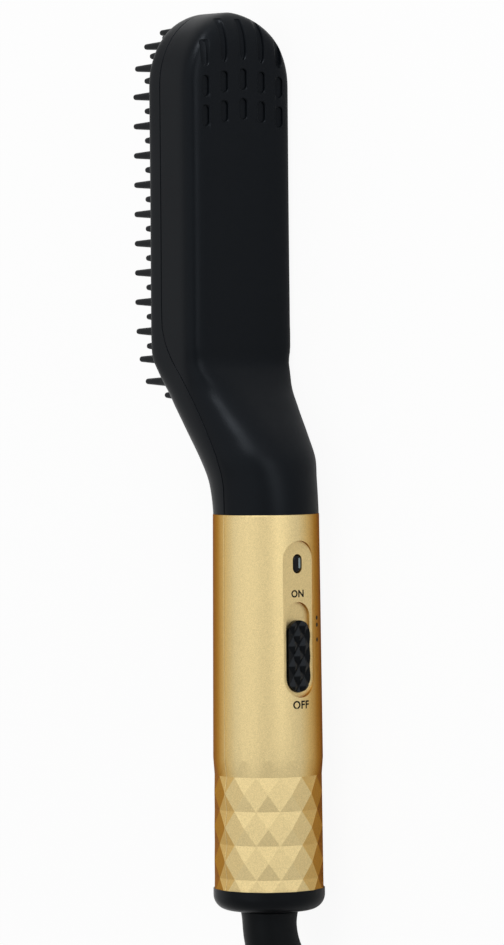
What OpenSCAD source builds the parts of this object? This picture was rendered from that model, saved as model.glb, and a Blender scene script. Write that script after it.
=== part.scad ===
// Heated beard comb: a black paddle head on a bent neck, a metallic handle with a slide switch and a faceted
// grip, and a power cord that turns on a swivel in the end cap. The tool lies on its side, head towards +X,
// teeth towards +Y and switch towards -Y, with its cord tied in a hank behind it. Units are millimetres.

/* [Tool] */
// length of the tool from the end cap to the top of the head
tool_length = 230; // [200:1:260]
// thickness of the moulded walls
wall = 2; // [1.4:0.1:2.6]
// small gap left between parts that are fitted together
fit_gap = 0.15; // [0.1:0.05:0.3]
// gap left round every moving part
run_gap = 0.35; // [0.25:0.05:0.6]

/* [Handle] */
// radius of the handle at the end cap
grip_r = 14.3; // [12:0.1:17]
// radius of the handle where the neck begins
neck_r = 13.6; // [11:0.1:16]
// height of the end cap
cap_height = 5.6; // [4:0.1:9]
// rounding of the bottom edge of the end cap
cap_round = 3.9; // [2:0.1:5]
// where the handle ends and the neck begins, from the end cap
joint_t = 101.4; // [90:0.2:120]

/* [Faceted grip] */
// number of diamond columns round the grip
facet_columns = 14; // [10:1:20]
// height of one row of diamonds
facet_pitch = 8.7; // [6:0.1:12]
// height of the uppermost full row line
facet_top_t = 34.7; // [24:0.1:48]
// number of row lines
facet_rows = 5; // [3:1:7]

/* [Switch] */
// width of the sunk panel round the switch
panel_width = 10.4; // [8:0.1:13]
// lower end of the panel
panel_low_t = 54.9; // [50:0.1:60]
// upper end of the panel
panel_high_t = 95.1; // [85:0.1:98]
// distance from the axis to the flat panel floor
panel_floor = 12.7; // [12:0.05:13.2]
// width of the switch track
track_width = 7.6; // [6:0.1:9]
// length of the switch track
track_length = 23.1; // [18:0.1:28]
// distance from the axis to the track floor
track_floor = 11.75; // [11.2:0.05:12.4]
// how far the knob slides
switch_travel = 4.4; // [3:0.1:6]
// distance from the axis to the knob surface
knob_face = 13.75; // [13.2:0.05:14]
// height of the diamonds on the knob
knob_relief = 0.45; // [0.2:0.05:0.6]
// centre of the indicator window
window_t = 88.9; // [84:0.1:92]

/* [Head] */
// half of the width of the head
head_half = 16.7; // [14:0.1:19]
// distance from the axis to the flat front of the head
head_front = 27.2; // [23:0.1:31]
// distance from the axis to the back of the head
head_back = 8; // [5:0.1:11]
// height of the arched top of the head
head_arch = 19; // [12:0.5:24]
// level of the seam between the two head mouldings
seam_level = 21.3; // [18:0.1:24]
// thickness of the side walls of the head
head_wall = 2.8; // [2:0.1:3.4]

/* [Comb] */
// half of the distance between the two long rows of teeth
tooth_half = 13; // [11:0.1:14.5]
// spacing of the long teeth
tooth_pitch = 7.58; // [6:0.02:10]
// level of the tips of the long teeth
long_tip = 37.1; // [33:0.1:41]
// level of the tips of the short teeth
short_tip = 32.3; // [29:0.1:35]
// radius of a tooth at its root
tooth_root_r = 1.25; // [0.9:0.05:1.6]
// radius of a tooth near its tip
tooth_tip_r = 0.75; // [0.5:0.05:1.1]
// level of the edges of the heated fins
fin_tip = 32.7; // [29:0.1:36]
// width of the row of heated fins
fin_width = 19; // [14:0.5:21]
// thickness of a heated fin
fin_thick = 1.6; // [1:0.1:2.4]

/* [Power cord] */
// outer diameter of the cord
cord_d = 5.5; // [4.5:0.1:7]
// radius of the boot where it leaves the end cap
boot_root_r = 7.4; // [6:0.1:9]
// radius of the boot at its thin end
boot_tip_r = 4; // [3.4:0.1:5]
// bend radius of the boot
boot_bend_r = 21; // [18:1:40]
// distance the boot reaches behind the end cap
boot_reach = 44; // [36:1:60]
// length of the tied hank
hank_length = 95; // [85:1:130]
// radius of the ends of the hank
hank_end_r = 22; // [20:0.1:27]
// height of the hank
hank_height = 22; // [11:0.5:28]
// width of the hank under the tie
waist_width = 23; // [22:0.5:30]
// rounding where the hank narrows to its waist
waist_fillet = 13; // [8:0.5:26]
// width of the cord tie
tie_width = 9; // [6:0.5:14]

/* [Plug] */
// length of the plug body
plug_length = 36; // [30:1:45]
// width of the plug body
plug_width = 35; // [28:0.5:37]
// height of the plug body
plug_height = 13.7; // [12:0.1:16]
// diameter of a plug pin
pin_d = 4; // [3.9:0.05:4.8]
// length of a plug pin
pin_length = 19; // [18:0.1:19.5]
// distance between the two pins
pin_spacing = 18.6; // [17.5:0.1:19]

/* [Hidden] */
$fn = 48;
eps = 0.01;

// colours
black = "#1d1f21";
gold = "#d6bf8a";
metal = "#c4c6c8";
copper = "#c07a4a";

// the tool is built upright: x across, y towards the teeth, z up from the end cap. lay() puts it on its side
mid_y = (long_tip - grip_r) / 2;
half_width = head_half + 0.1;
floor_x = half_width;

// radius of the handle at height t, before the facets are cut
function grip_radius(t) = grip_r + (neck_r - grip_r) * (t - cap_height) / (joint_t - cap_height);
bore_low = grip_r - wall;
bore_high = neck_r - wall;

// faceted grip
facet_step = 360 / facet_columns;
facet_clear_t = facet_top_t + facet_pitch / 2;
top_points = 8;

// switch positions: the knob rests at the low end of its track
track_low_t = panel_low_t + 1.2;
knob_width = track_width - 2 * run_gap;
knob_length = track_length - switch_travel - 2 * run_gap;
knob_low_t = track_low_t + run_gap;
knob_mid_t = knob_low_t + knob_length / 2;
stem_width = 3;
stem_length = 6;
pad_inner = 10.4;
carrier_thick = 0.6;
board_back = 6.6;
board_thick = 1.2;
switch_top = pad_inner - carrier_thick - 2 * run_gap;

// neck and head: rows of [height, back level, front level, half width, roundness of back, of front]
shape = [
    [joint_t - 6, -13.5, 13.5, 13.5, 2, 2],
    [joint_t, -13.5, 13.5, 13.5, 2, 2],
    [106, -13.2, 14.1, 13.6, 2, 2],
    [110.3, -12.5, 15.1, 13.8, 2.05, 2.05],
    [115.4, -11, 17.6, 14.5, 2.2, 2.1],
    [121, -7.3, 21, 15, 2.3, 2.2],
    [128.2, -1.1, 24.3, 15.6, 2.7, 2.6],
    [134.1, 3.9, 26.5, 16.1, 3.4, 3.3],
    [139, 7.5, head_front, 16.5, 5.6, 6],
    [141, 8, head_front, 16.6, 6.4, 10],
    [143.4, head_back, head_front, head_half + 0.1, 7, 12],
    [150, head_back, head_front, head_half + 0.1, 7, 13],
    [180, head_back, head_front, head_half, 7, 13],
    [tool_length - head_arch, head_back, head_front, head_half, 7, 13],
    [tool_length + 10, head_back, head_front, head_half, 7, 13]
];

// smooth value number c of the shape table at height t
function row_at(t, i = 1) = (i >= len(shape) - 3 || t < shape[i + 1][0]) ? i : row_at(t, i + 1);
function slope(i, c) = (shape[i + 1][c] - shape[i - 1][c]) / (shape[i + 1][0] - shape[i - 1][0]);
function blend(a, b, ma, mb, h, u) =
    a * (2 * u * u * u - 3 * u * u + 1) + b * (3 * u * u - 2 * u * u * u)
    + h * ma * (u * u * u - 2 * u * u + u) + h * mb * (u * u * u - u * u);
function body_value(t, c) =
    let (i = row_at(t), h = shape[i + 1][0] - shape[i][0], u = (t - shape[i][0]) / h)
    blend(shape[i][c], shape[i + 1][c], slope(i, c), slope(i + 1, c), h, u);

// the arch of the head narrows its width and rounds its back and front edges near the top
function arch(t) = max(0, (t - (tool_length - head_arch)) / head_arch);
function edge_drop(t, depth, size) =
    let (v = max(0, (t - tool_length + depth) / depth)) size * (1 - sqrt(max(0, 1 - v * v)));
function body_half(t) = body_value(t, 3) * sqrt(max(0.015, 1 - arch(t) * arch(t)));
function body_back(t) = body_value(t, 1) + edge_drop(t, 10, 6.4);
function body_front(t) = body_value(t, 2) - edge_drop(t, 5, 2.6);
function body_round(t, c) = body_value(t, c) + (3 - body_value(t, c)) * arch(t) * arch(t);

function signed_power(v, p) = sign(v) * pow(abs(v), p);
function body_point(t, a, side, back, front) =
    let (
        low = body_back(t) + back,
        high = body_front(t) - front,
        n = body_round(t, sin(a) > 0 ? 5 : 4)
    )
    [
        (body_half(t) - side) * signed_power(cos(a), 2 / n),
        (low + high) / 2 + (high - low) / 2 * signed_power(sin(a), 2 / n),
        t
    ];

outer_heights = concat(
    [for (t = [joint_t : 3.4 : 138]) t],
    [139.2, 140.2, 141.2, 142.2, 143.4, 146, 152, 180],
    [for (u = [0, 0.2, 0.36, 0.5, 0.62, 0.73, 0.82, 0.89, 0.945, 0.98, 1]) tool_length - head_arch * (1 - u)]
);
inner_heights = concat(
    [for (t = [joint_t + wall : 5.5 : 138]) t],
    [139, 143.4, 150, 180],
    [for (u = [0, 0.3, 0.52, 0.7, 0.8]) tool_length - head_arch * (1 - u)]
);

// height and level of the seam between the back shell and the front frame
seam_line = [
    [joint_t - 20, 0], [108, 0], [112, 0.6], [116.2, 1.8], [123.6, 5.7], [130, 9.6], [135.9, 13.6],
    [141, 17.6], [145.4, 20], [149, 21.1], [153, seam_level], [tool_length + 5, seam_level]
];

// comb guard and its opening in the front of the head
opening_low_t = 138.5;
opening_side = 2.2;
guard_back = 25.1;
guard_front = head_front - 0.2;
loop_arch = 15;
loop_top_t = tool_length - 3.5;
first_tooth_t = 208.8;
// the long rows have as many teeth as the opening has room for, and a fin stands between each pair
comb_rows = floor((first_tooth_t - opening_low_t) / tooth_pitch);
fin_count = comb_rows + 1;
fin_first_t = first_tooth_t - (comb_rows - 0.75) * tooth_pitch - 0.26;
fin_end_t = fin_first_t + comb_rows * tooth_pitch + fin_thick;
plate_back = 20.6;
plate_front = 22.8;
heater_thick = 2.2;
film_thick = 0.3;
clamp_depth = heater_thick + film_thick + 1;
screw_heights = [for (i = [1, fin_count - 2]) fin_first_t + (i + 0.5) * tooth_pitch + fin_thick / 2];

// cord: the boot bends down to the floor in two arcs and a straight
boot_drop = floor_x - boot_tip_r - 1.1;
boot_angle = acos(1 - boot_drop / (2 * boot_bend_r));
boot_arc = boot_bend_r * boot_angle * PI / 180;
boot_arcs_reach = 2 * boot_bend_r * sin(boot_angle);
boot_gap = 0.4;
boot_lead_in = 2.5;
boot_start = boot_gap + boot_lead_in;
boot_straight = boot_reach - boot_start - boot_arcs_reach;
boot_path = 2 * boot_arc + boot_straight;
function boot_axis(s) =
    s < 0
        ? [0, 0, -boot_start - s]
        : s < boot_arc
        ? let (a = s / boot_bend_r * 180 / PI)
            [boot_bend_r * (1 - cos(a)), 0, -boot_start - boot_bend_r * sin(a)]
        : s < 2 * boot_arc
            ? let (a = (2 * boot_arc - s) / boot_bend_r * 180 / PI)
                [boot_drop - boot_bend_r * (1 - cos(a)), 0, boot_bend_r * sin(a) - boot_start - boot_arcs_reach]
            : [boot_drop, 0, -boot_start - boot_arcs_reach - (s - 2 * boot_arc)];
boot_plain = 11;
rib_pitch = 3.3;
rib_count = floor((boot_path - boot_plain - 3) / rib_pitch);
rib_depth = 0.9;
boot_taper = 0.45;
function boot_radius(s) =
    s < boot_plain
        ? boot_root_r - boot_taper * min(1, (s + boot_lead_in) / 4)
        : boot_root_r - boot_taper
            - (boot_root_r - boot_taper - boot_tip_r) * (s - boot_plain) / (boot_path - boot_plain);
boot_stations = concat(
    [[-boot_lead_in, 0.25], [0.4 - boot_lead_in, 0], [-1, 0], [1.5, 0], [4, 0], [7, 0], [boot_plain, 0]],
    [for (i = [0 : rib_count - 1], k = [[0.4, rib_depth], [1.4, rib_depth], [1.8, 0], [rib_pitch, 0]])
        [boot_plain + i * rib_pitch + k[0], k[1]]],
    [[boot_path - 0.6, 0], [boot_path, 0.5]]
);

// hank, cord ends and plug behind the tool
lead_reach = 30;
hank_low_t = -boot_reach - lead_reach;
hank_end_t = hank_low_t - hank_length;
tie_t = (hank_low_t + hank_end_t) / 2;
tie_thick = 0.8;
cord_r = cord_d / 2;
floor_cord_x = floor_x - cord_r - 0.05;
second_cord_x = floor_x - 3 * cord_r;
plug_x = floor_x - plug_height / 2;
plug_y = plug_width / 2 - grip_r + 0.4;
plug_rear_t = hank_end_t - 7;
plug_face_t = plug_rear_t - plug_length;
lead_route = [
    [boot_drop, 0, -boot_reach - 0.3], [boot_drop, 0, -boot_reach - 2],
    [boot_drop + 0.9, 0, -boot_reach - 8], [boot_drop + 1.8, 0.4, -boot_reach - 14],
    [floor_cord_x - 0.1, 1.6, -boot_reach - 21], [floor_cord_x, 3.6, hank_low_t - 0.5]
];
tail_route = [
    [second_cord_x, 1.4, hank_end_t + 0.7], [second_cord_x, 1.5, hank_end_t - 1],
    [plug_x - 0.2, 3, hank_end_t - 4], [plug_x, plug_y, plug_rear_t + 1.2], [plug_x, plug_y, plug_rear_t + 0.02]
];
neck_route = [
    [0, -4.6, 87], [0, -4.4, 90], [0, -2, 97], [0, 0.6, 104], [0, 3, 112], [0, 6.8, 120], [0, 11.2, 128],
    [0, 15, 135], [0, 18, 142], [0, 19.5, 147], [0, 19.8, 150]
];
supply_route = [
    [1.2, 0, 6.2], [2.4, 0, 9.5], [4.2, -0.4, 13.5], [5.2, -1.6, 19], [5.2, -3.2, 25], [5.2, -4.3, 30],
    [5.2, -4.5, 36]
];

// puts a piece that was built upright into its place on the floor
module lay() {
    translate([-tool_length / 2, -mid_y, floor_x]) rotate([0, 90, 0]) children();
}

// ring on the tool axis from height a to height b
module ring(outer, inner, a, b) {
    translate([0, 0, a]) difference() {
        cylinder(r = outer, h = b - a);
        translate([0, 0, -1]) cylinder(r = inner, h = b - a + 2);
    }
}

// rounded slot shape that stands on the back or front, its long way up the tool
module slot_solid(width, low_t, high_t, from_y, to_y) {
    for (t = [low_t + width / 2, high_t - width / 2])
        translate([0, from_y, t]) rotate([-90, 0, 0]) cylinder(d = width, h = to_y - from_y, $fn = 32);
    translate([-width / 2, from_y, low_t + width / 2])
        cube([width, to_y - from_y, high_t - low_t - width]);
}

// box given by its ranges
module block(x, y, t) {
    translate([x[0], y[0], t[0]]) cube([x[1] - x[0], y[1] - y[0], t[1] - t[0]]);
}

// solid through a list of rings of points
module skin(rings) {
    count = len(rings[0]);
    last = len(rings) - 1;
    polyhedron(
        points = [for (r = rings, p = r) p],
        faces = concat(
            [[for (k = [0 : count - 1]) k]],
            [for (j = [0 : last - 1], k = [0 : count - 1])
                let (n = (k + 1) % count) [j * count + k, (j + 1) * count + k, (j + 1) * count + n]],
            [for (j = [0 : last - 1], k = [0 : count - 1])
                let (n = (k + 1) % count) [j * count + k, (j + 1) * count + n, j * count + n]],
            [[for (k = [count - 1 : -1 : 0]) last * count + k]]
        )
    );
}

// tube along a route that never stands upright on the floor, with one radius for each point
module tube(route, radii, sides) {
    last = len(route) - 1;
    skin([
        for (i = [0 : last])
            let (
                way = route[min(i + 1, last)] - route[max(i - 1, 0)],
                across = cross(way, [1, 0, 0]) / norm(cross(way, [1, 0, 0])),
                up = cross(way, across) / norm(cross(way, across))
            )
            [for (k = [0 : sides - 1])
                route[i] + radii[i] * (cos(360 * k / sides) * across + sin(360 * k / sides) * up)]
    ]);
}

module cord_tube(route, r, sides) {
    tube(route, [for (p = route) r], sides);
}

// neck and head, whole
module head_solid() {
    skin([for (t = outer_heights) [for (a = [0 : 9 : 351]) body_point(t, a, 0, 0, 0)]]);
}

// room inside the neck and head
module head_room() {
    skin([
        for (t = inner_heights)
            let (s = wall + (head_wall - wall) * min(1, max(0, (t - 126) / 14)))
            [for (a = [0 : 15 : 345]) body_point(t, a, s, wall, wall)]
    ]);
}

// everything in front of the seam
module before_seam() {
    rotate([90, 0, 90])
        linear_extrude(height = 60, center = true)
            polygon(concat(
                [for (p = seam_line) [p[1], p[0]]],
                [[60, tool_length + 5], [60, joint_t - 20]]
            ));
}

// tenon that reaches down into the handle, cut flat where the circuit board passes
module tenon() {
    difference() {
        union() {
            ring(bore_high - 0.35, 8.9, joint_t - 13.4, joint_t + wall);
            ring(neck_r - 0.3, 8.9, joint_t, joint_t + wall);
        }
        ring(20, bore_high - 1.4, joint_t - 8.6, joint_t - 6.6);
        block([-20, 20], [-20, -board_back + board_thick + 0.8], [joint_t - 20, joint_t - 0.4]);
    }
}

// row of vents on the back of the head
vent_depth = 0.8;
vent_x = [-11.9, -5.9, 0.2, 6.1, 12];
vent_drop = [1.9, 0.7, 0, 0.7, 1.9];
module vents() {
    for (i = [0 : len(vent_x) - 1]) {
        for (row = [[205, 5.6], [212.6, 5.6]])
            translate([vent_x[i], 0, 0])
                slot_solid(2.5, row[0] - vent_drop[i] - 2.8, row[0] - vent_drop[i] + 2.8, 0, head_back + vent_depth);
        translate([vent_x[i], 0, 0])
            slot_solid(2.5, 217.6 - vent_drop[i], 225 - 2.2 * vent_drop[i], 0, head_back + vent_depth + 0.1);
        // the upper vents lean over with the rounded edge of the arch
        translate([vent_x[i], head_back + 1.3, 224 - 2.2 * vent_drop[i]])
            rotate([-24, 0, 0]) slot_solid(2.5, -4, 5, -10, 0);
    }
}

module head_back_shell() color(black) lay() {
    difference() {
        union() {
            difference() {
                head_solid();
                head_room();
                cylinder(r = 8.9, h = joint_t + wall + 1);
            }
            tenon();
        }
        before_seam();
        vents();
    }
    // posts that carry the comb plate screws
    for (t = screw_heights)
        translate([0, head_back + wall - 0.6, t]) rotate([-90, 0, 0])
            difference() {
                cylinder(r = 2.6, h = plate_back - clamp_depth - head_back - wall + 0.6);
                translate([0, 0, 2]) cylinder(r = 0.95, h = 30);
            }
}

// outline of the opening in the front of the head, with a given gap
module opening_outline(gap) {
    half = head_half - opening_side - gap;
    top = tool_length - opening_side - gap;
    low = opening_low_t + gap;
    corner = 5;
    for (x = [-half + corner, half - corner])
        translate([x, low + corner]) circle(r = corner);
    translate([-half, low + corner]) square([2 * half, tool_length - head_arch - low - corner]);
    translate([-half + corner, low]) square([2 * (half - corner), corner + 1]);
    intersection() {
        translate([0, tool_length - head_arch]) scale([half, top - tool_length + head_arch]) circle(r = 1);
        translate([-half, tool_length - head_arch - 1]) square([2 * half, head_arch + 2]);
    }
}

// turns an outline drawn across and up into a slab between two levels
module slab(from_y, to_y) {
    translate([0, to_y, 0]) rotate([90, 0, 0]) linear_extrude(height = to_y - from_y) children();
}

// one tooth with a rounded tip, from level a to its tip
module tooth(x, t, a, tip) {
    translate([x, a, t]) rotate([-90, 0, 0])
        rotate_extrude($fn = 24)
            polygon([
                [0, 0], [tooth_root_r, 0], [tooth_tip_r, tip - a - tooth_tip_r],
                [0.7 * tooth_tip_r, tip - a - 0.28 * tooth_tip_r], [0, tip - a]
            ]);
}

module head_front_frame() color(black) lay() {
    difference() {
        union() {
            difference() {
                head_solid();
                head_room();
                cylinder(r = 8.9, h = joint_t + wall + 1);
            }
            tenon();
        }
        difference() {
            translate([-40, -60, 0]) cube([80, 120, 260]);
            before_seam();
        }
        slab(guard_back, 40) opening_outline(0);
        // the frame is hollowed through under the opening, down to a ledge that carries the guard
        slab(seam_level - 3, 40) offset(delta = -1.2) opening_outline(0);
        translate([0, 0, 92]) rotate([-90, 0, 0]) cylinder(r = 1.3, h = 30);
    }
    // the lowest teeth stand on the sloping front
    for (side = [-1, 1]) {
        tooth(side * 11.9, 135.2, 22.5, 34.4);
        tooth(side * 8.4, 131.6, 22, 30.9);
    }
    tooth(0, 130.4, 22, 29.6);
}

// tooth on the arch, at an angle from the side of the comb
module arch_tooth(side, a, tip) {
    tooth(side * tooth_half * cos(a), loop_top_t - loop_arch * (1 - sin(a)), guard_front - 0.5, tip);
}

// teeth up both sides and round the arch of the comb
module guard_teeth() {
    for (side = [-1, 1]) {
        for (i = [0 : comb_rows - 1])
            tooth(side * tooth_half, first_tooth_t - i * tooth_pitch, guard_front - 0.5,
                long_tip - (i == comb_rows - 1 ? 0.4 : 0));
        for (i = [0 : comb_rows - 1])
            tooth(side * tooth_half, first_tooth_t - (i + 0.5) * tooth_pitch, guard_front - 0.5, short_tip);
        for (a = [18, 44, 71])
            arch_tooth(side, a, long_tip);
        for (a = [5, 31, 57])
            arch_tooth(side, a, short_tip);
        tooth(side * (tooth_half - 1), first_tooth_t - (comb_rows - 0.05) * tooth_pitch, guard_front - 0.5,
            long_tip - 0.3);
    }
    tooth(0, loop_top_t, guard_front - 0.5, short_tip);
}

module comb_guard() color(black) lay() {
    difference() {
        slab(guard_back, guard_front) opening_outline(fit_gap);
        for (i = [0 : fin_count - 1])
            block([-fin_width / 2 - 0.5, fin_width / 2 + 0.5], [0, 40],
                [fin_first_t + i * tooth_pitch - 0.5, fin_first_t + i * tooth_pitch + fin_thick + 0.5]);
        for (t = screw_heights)
            translate([0, 0, t]) rotate([-90, 0, 0]) cylinder(r = 1.6, h = 40);
    }
    guard_teeth();
    // short studs on the bars between the fins
    for (i = [0 : fin_count - 2], x = i == 1 || i == fin_count - 2 ? [-7, 7] : [-7, -2.4, 2.4, 7])
        tooth(x, fin_first_t + (i + 0.5) * tooth_pitch + fin_thick / 2, guard_front - 0.4, short_tip - 1.4);
}

// notched blade that stands on the heating plate
module fin() {
    notch = fin_width / 9;
    slab_y = plate_front - 0.2;
    difference() {
        block([-fin_width / 2, fin_width / 2], [slab_y, fin_tip], [0, fin_thick]);
        for (i = [0 : 3])
            translate([-fin_width / 2 + (2 * i + 1) * notch, guard_front + 1.6, -1])
                cube([notch, 20, fin_thick + 2]);
    }
}

module heating_plate() color(metal) lay() {
    difference() {
        block([-fin_width / 2 - 1.1, fin_width / 2 + 1.1], [plate_back, plate_front],
            [fin_first_t - 3, fin_end_t + 2.7]);
        for (t = screw_heights)
            translate([0, 0, t]) rotate([-90, 0, 0]) cylinder(r = 1.4, h = 40);
    }
    for (i = [0 : fin_count - 1])
        translate([0, 0, fin_first_t + i * tooth_pitch]) fin();
}

module heater_element() color("#e4e2da") lay()
    block([-5, 5], [plate_back - heater_thick, plate_back], [screw_heights[0] + 4.6, screw_heights[1] - 4.6]);

module insulation_film() color("#b8792c") lay()
    block([-6, 6], [plate_back - heater_thick - film_thick, plate_back - heater_thick],
        [screw_heights[0] + 4, screw_heights[1] - 4]);

module heater_clamp() color(metal) lay() {
    difference() {
        union() {
            block([-4.5, 4.5], [plate_back - clamp_depth, plate_back - clamp_depth + 1],
                [screw_heights[0] - 5, screw_heights[1] + 5]);
            for (t = screw_heights)
                translate([0, plate_back - clamp_depth, t])
                    rotate([-90, 0, 0]) cylinder(r = 3, h = clamp_depth);
        }
        for (t = screw_heights)
            translate([0, 0, t]) rotate([-90, 0, 0]) cylinder(r = 1.4, h = 40);
    }
}

// screw with a domed head on the outer end, pointing to the back
module screw(r, head_r, from_y, to_y) {
    translate([0, to_y, 0]) rotate([90, 0, 0]) {
        cylinder(r = r, h = to_y - from_y, $fn = 24);
        difference() {
            translate([0, 0, -1.4]) cylinder(r = head_r, h = 1.4, $fn = 32);
            for (a = [0, 90])
                rotate([0, 0, a]) translate([-head_r * 0.6, -0.25, -1.5]) cube([head_r * 1.2, 0.5, 0.8]);
        }
    }
}

module plate_screws() color(metal) lay()
    for (t = screw_heights)
        translate([0, 0, t]) screw(0.9, 2.4, plate_back - 8.6, plate_front);

module thermal_fuse() color("#d8d2c4") lay() {
    translate([5.2, head_back + wall + 1.6, 143]) cylinder(r = 1.5, h = 9, $fn = 24);
    translate([5.2, head_back + wall + 1.6, 140]) cylinder(r = 0.5, h = 15, $fn = 16);
}

module thermostat() color("#3a3c3e") lay() {
    low_t = screw_heights[0] + 11.8;
    block([-9.4, -6.2], [plate_back - 2.6, plate_back], [low_t, low_t + 8]);
    block([-8.5, -7.1], [plate_back - 2.2, plate_back - 0.8], [low_t - 4, low_t + 1]);
}

module neck_wires() color("#b23a30") lay()
    for (x = [-2.6, -0.4, 1.8])
        translate([x, 0, 0]) cord_tube(neck_route, 0.8, 8);

// grip with its facets, solid. Upright diamonds are flat, so their top and bottom corners lie deeper than their side
// corners, and a valley runs between them. The top line has more points, so that it meets the round handle
module lattice() {
    n = facet_columns;
    m = n * top_points;
    low_t = facet_top_t - (facet_rows - 1) * facet_pitch;
    lines = [
        for (j = [0 : 2 * facet_rows - 2])
            let (t = low_t + j * facet_pitch / 2) [grip_radius(t), t, j % 2]
    ];
    last = len(lines) - 1;
    top_r = grip_radius(facet_clear_t) - 0.02;
    polyhedron(
        points = concat(
            [
                for (l = lines, k = [0 : n - 1])
                    let (a = (k + l[2] / 2) * facet_step, r = l[0] * (l[2] == 0 ? cos(facet_step / 2) : 1))
                    [r * sin(a), -r * cos(a), l[1]]
            ],
            [
                for (k = [0 : m - 1])
                    let (a = k * 360 / m) [top_r * sin(a), -top_r * cos(a), facet_clear_t]
            ]
        ),
        faces = concat(
            [[for (k = [0 : n - 1]) k]],
            [
                for (j = [0 : 2 : last - 2], k = [0 : n - 1])
                    let (k2 = (k + 1) % n, a = j * n, b = a + n + k, c = a + 2 * n)
                    for (f = [[a + k, b, a + k2], [b, c + k2, a + k2], [c + k, c + k2, b], [a + k, c + k, b]])
                        f
            ],
            [
                for (k = [0 : n - 1])
                    let (k2 = (k + 1) % n, a = last * n, tip = a + n + k * top_points + top_points / 2)
                    [a + k, tip, a + k2]
            ],
            [
                for (k = [0 : n - 1], i = [-top_points / 2 : top_points / 2 - 1])
                    let (a = last * n, q = k * top_points + i)
                    [a + k, a + n + (q + m) % m, a + n + (q + 1 + m) % m]
            ],
            [[for (k = [m - 1 : -1 : 0]) (last + 1) * n + k]]
        )
    );
}

module handle_solid() {
    difference() {
        lattice();
        translate([-50, -50, cap_height - 50]) cube([100, 100, 50]);
    }
    translate([0, 0, facet_clear_t])
        cylinder(r1 = grip_radius(facet_clear_t), r2 = neck_r, h = joint_t - facet_clear_t, $fn = 96);
}

module handle_bore() {
    translate([0, 0, cap_height]) cylinder(r1 = bore_low, r2 = bore_high, h = joint_t - cap_height + eps);
}

module half_space(side) {
    translate([-50, side > 0 ? 0 : -100, -50]) cube([100, 100, 300]);
}

handle_screw_heights = [24, 50];
boss_r = 3.2;
screw_seat = 7.6;

module handle_back_shell() color(gold) lay() {
    difference() {
        union() {
            difference() {
                handle_solid();
                handle_bore();
            }
            // flat pad that carries the switch track
            intersection() {
                handle_solid();
                block([-7.4, 7.4], [-40, -pad_inner], [panel_low_t - 3, panel_high_t + 3]);
            }
            // webs under the circuit board
            for (t = [34, 44, 82])
                intersection() {
                    handle_solid();
                    block([-20, 20], [-40, -board_back], [t, t + 1.6]);
                }
            for (t = handle_screw_heights)
                intersection() {
                    handle_solid();
                    translate([0, -20, t]) rotate([-90, 0, 0]) cylinder(r = boss_r, h = 20);
                }
        }
        half_space(1);
        slot_solid(panel_width, panel_low_t, panel_high_t, -40, -panel_floor);
        slot_solid(track_width, track_low_t, track_low_t + track_length, -40, -track_floor);
        slot_solid(stem_width + 2 * run_gap, knob_mid_t - stem_length / 2 - run_gap,
            knob_mid_t + stem_length / 2 + run_gap + switch_travel, -40, -5);
        slot_solid(2.9, window_t - 2.45, window_t + 2.45, -40, -5);
        for (t = handle_screw_heights)
            translate([0, -9.4, t]) rotate([-90, 0, 0]) cylinder(r = 0.95, h = 20);
    }
}

module handle_front_shell() color(gold) lay() {
    difference() {
        union() {
            difference() {
                handle_solid();
                handle_bore();
            }
            // rib that holds the tenon of the head
            intersection() {
                handle_solid();
                ring(bore_high + 1, bore_high - 1.1, joint_t - 8.3, joint_t - 6.9);
            }
            for (t = handle_screw_heights)
                intersection() {
                    handle_solid();
                    translate([0, 0, t]) rotate([-90, 0, 0]) cylinder(r = boss_r + 0.4, h = 20);
                }
        }
        half_space(-1);
        for (t = handle_screw_heights)
            translate([0, 0, t]) rotate([-90, 0, 0]) {
                translate([0, 0, -1]) cylinder(r = 1.1, h = 20);
                translate([0, 0, screw_seat]) cylinder(r = 2.6, h = 20);
            }
    }
}

module handle_screws() color(metal) lay()
    for (t = handle_screw_heights)
        translate([0, 0, t]) screw(0.9, 2.4, -9, screw_seat);

hub_neck_r = 5.6;
hub_flange_r = 8.4;
hub_bore_r = 4.7;
cap_floor = 2.6;

module end_cap() color(black) lay() {
    difference() {
        union() {
            rotate_extrude($fn = 64) {
                intersection() {
                    translate([grip_r - cap_round, cap_round]) circle(r = cap_round, $fn = 48);
                    square([grip_r, cap_height]);
                }
                square([grip_r - cap_round, cap_height]);
                translate([0, cap_round]) square([grip_r, cap_height - cap_round]);
            }
            cylinder(r = bore_low - fit_gap - 0.1, h = cap_height + 3.4);
        }
        translate([0, 0, -1]) cylinder(r = hub_neck_r + run_gap, h = 20);
        translate([0, 0, cap_floor]) cylinder(r = hub_flange_r + 0.6, h = 20);
    }
}

module circuit_board() color("#2f6b45") lay() {
    difference() {
        block([-8.5, 8.5], [-board_back, -board_back + board_thick], [30, 95]);
        translate([0, -20, handle_screw_heights[1]]) rotate([-90, 0, 0]) cylinder(r = boss_r + 0.4, h = 30);
    }
}

module slide_switch() color("#c9cbcc") lay()
    block([-3.6, 3.6], [-switch_top, -board_back], [knob_mid_t - 8, knob_mid_t + 11]);

module control_chip() color("#26282a") lay() {
    block([-3, 3], [board_thick - board_back, board_thick - board_back + 1.6], [58, 64]);
    block([-7.5, -4.5], [board_thick - board_back, board_thick - board_back + 2.2], [68, 73]);
    translate([4.6, board_thick - board_back, 71]) rotate([-90, 0, 0]) cylinder(r = 2.4, h = 6, $fn = 32);
}

module indicator_led() color("#d9e2e4") lay()
    translate([0, -board_back, window_t]) rotate([90, 0, 0]) {
        cylinder(r = 1.9, h = 0.9, $fn = 32);
        cylinder(r = 1.5, h = 1.8, $fn = 32);
        translate([0, 0, 1.8]) sphere(r = 1.5, $fn = 24);
    }

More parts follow.
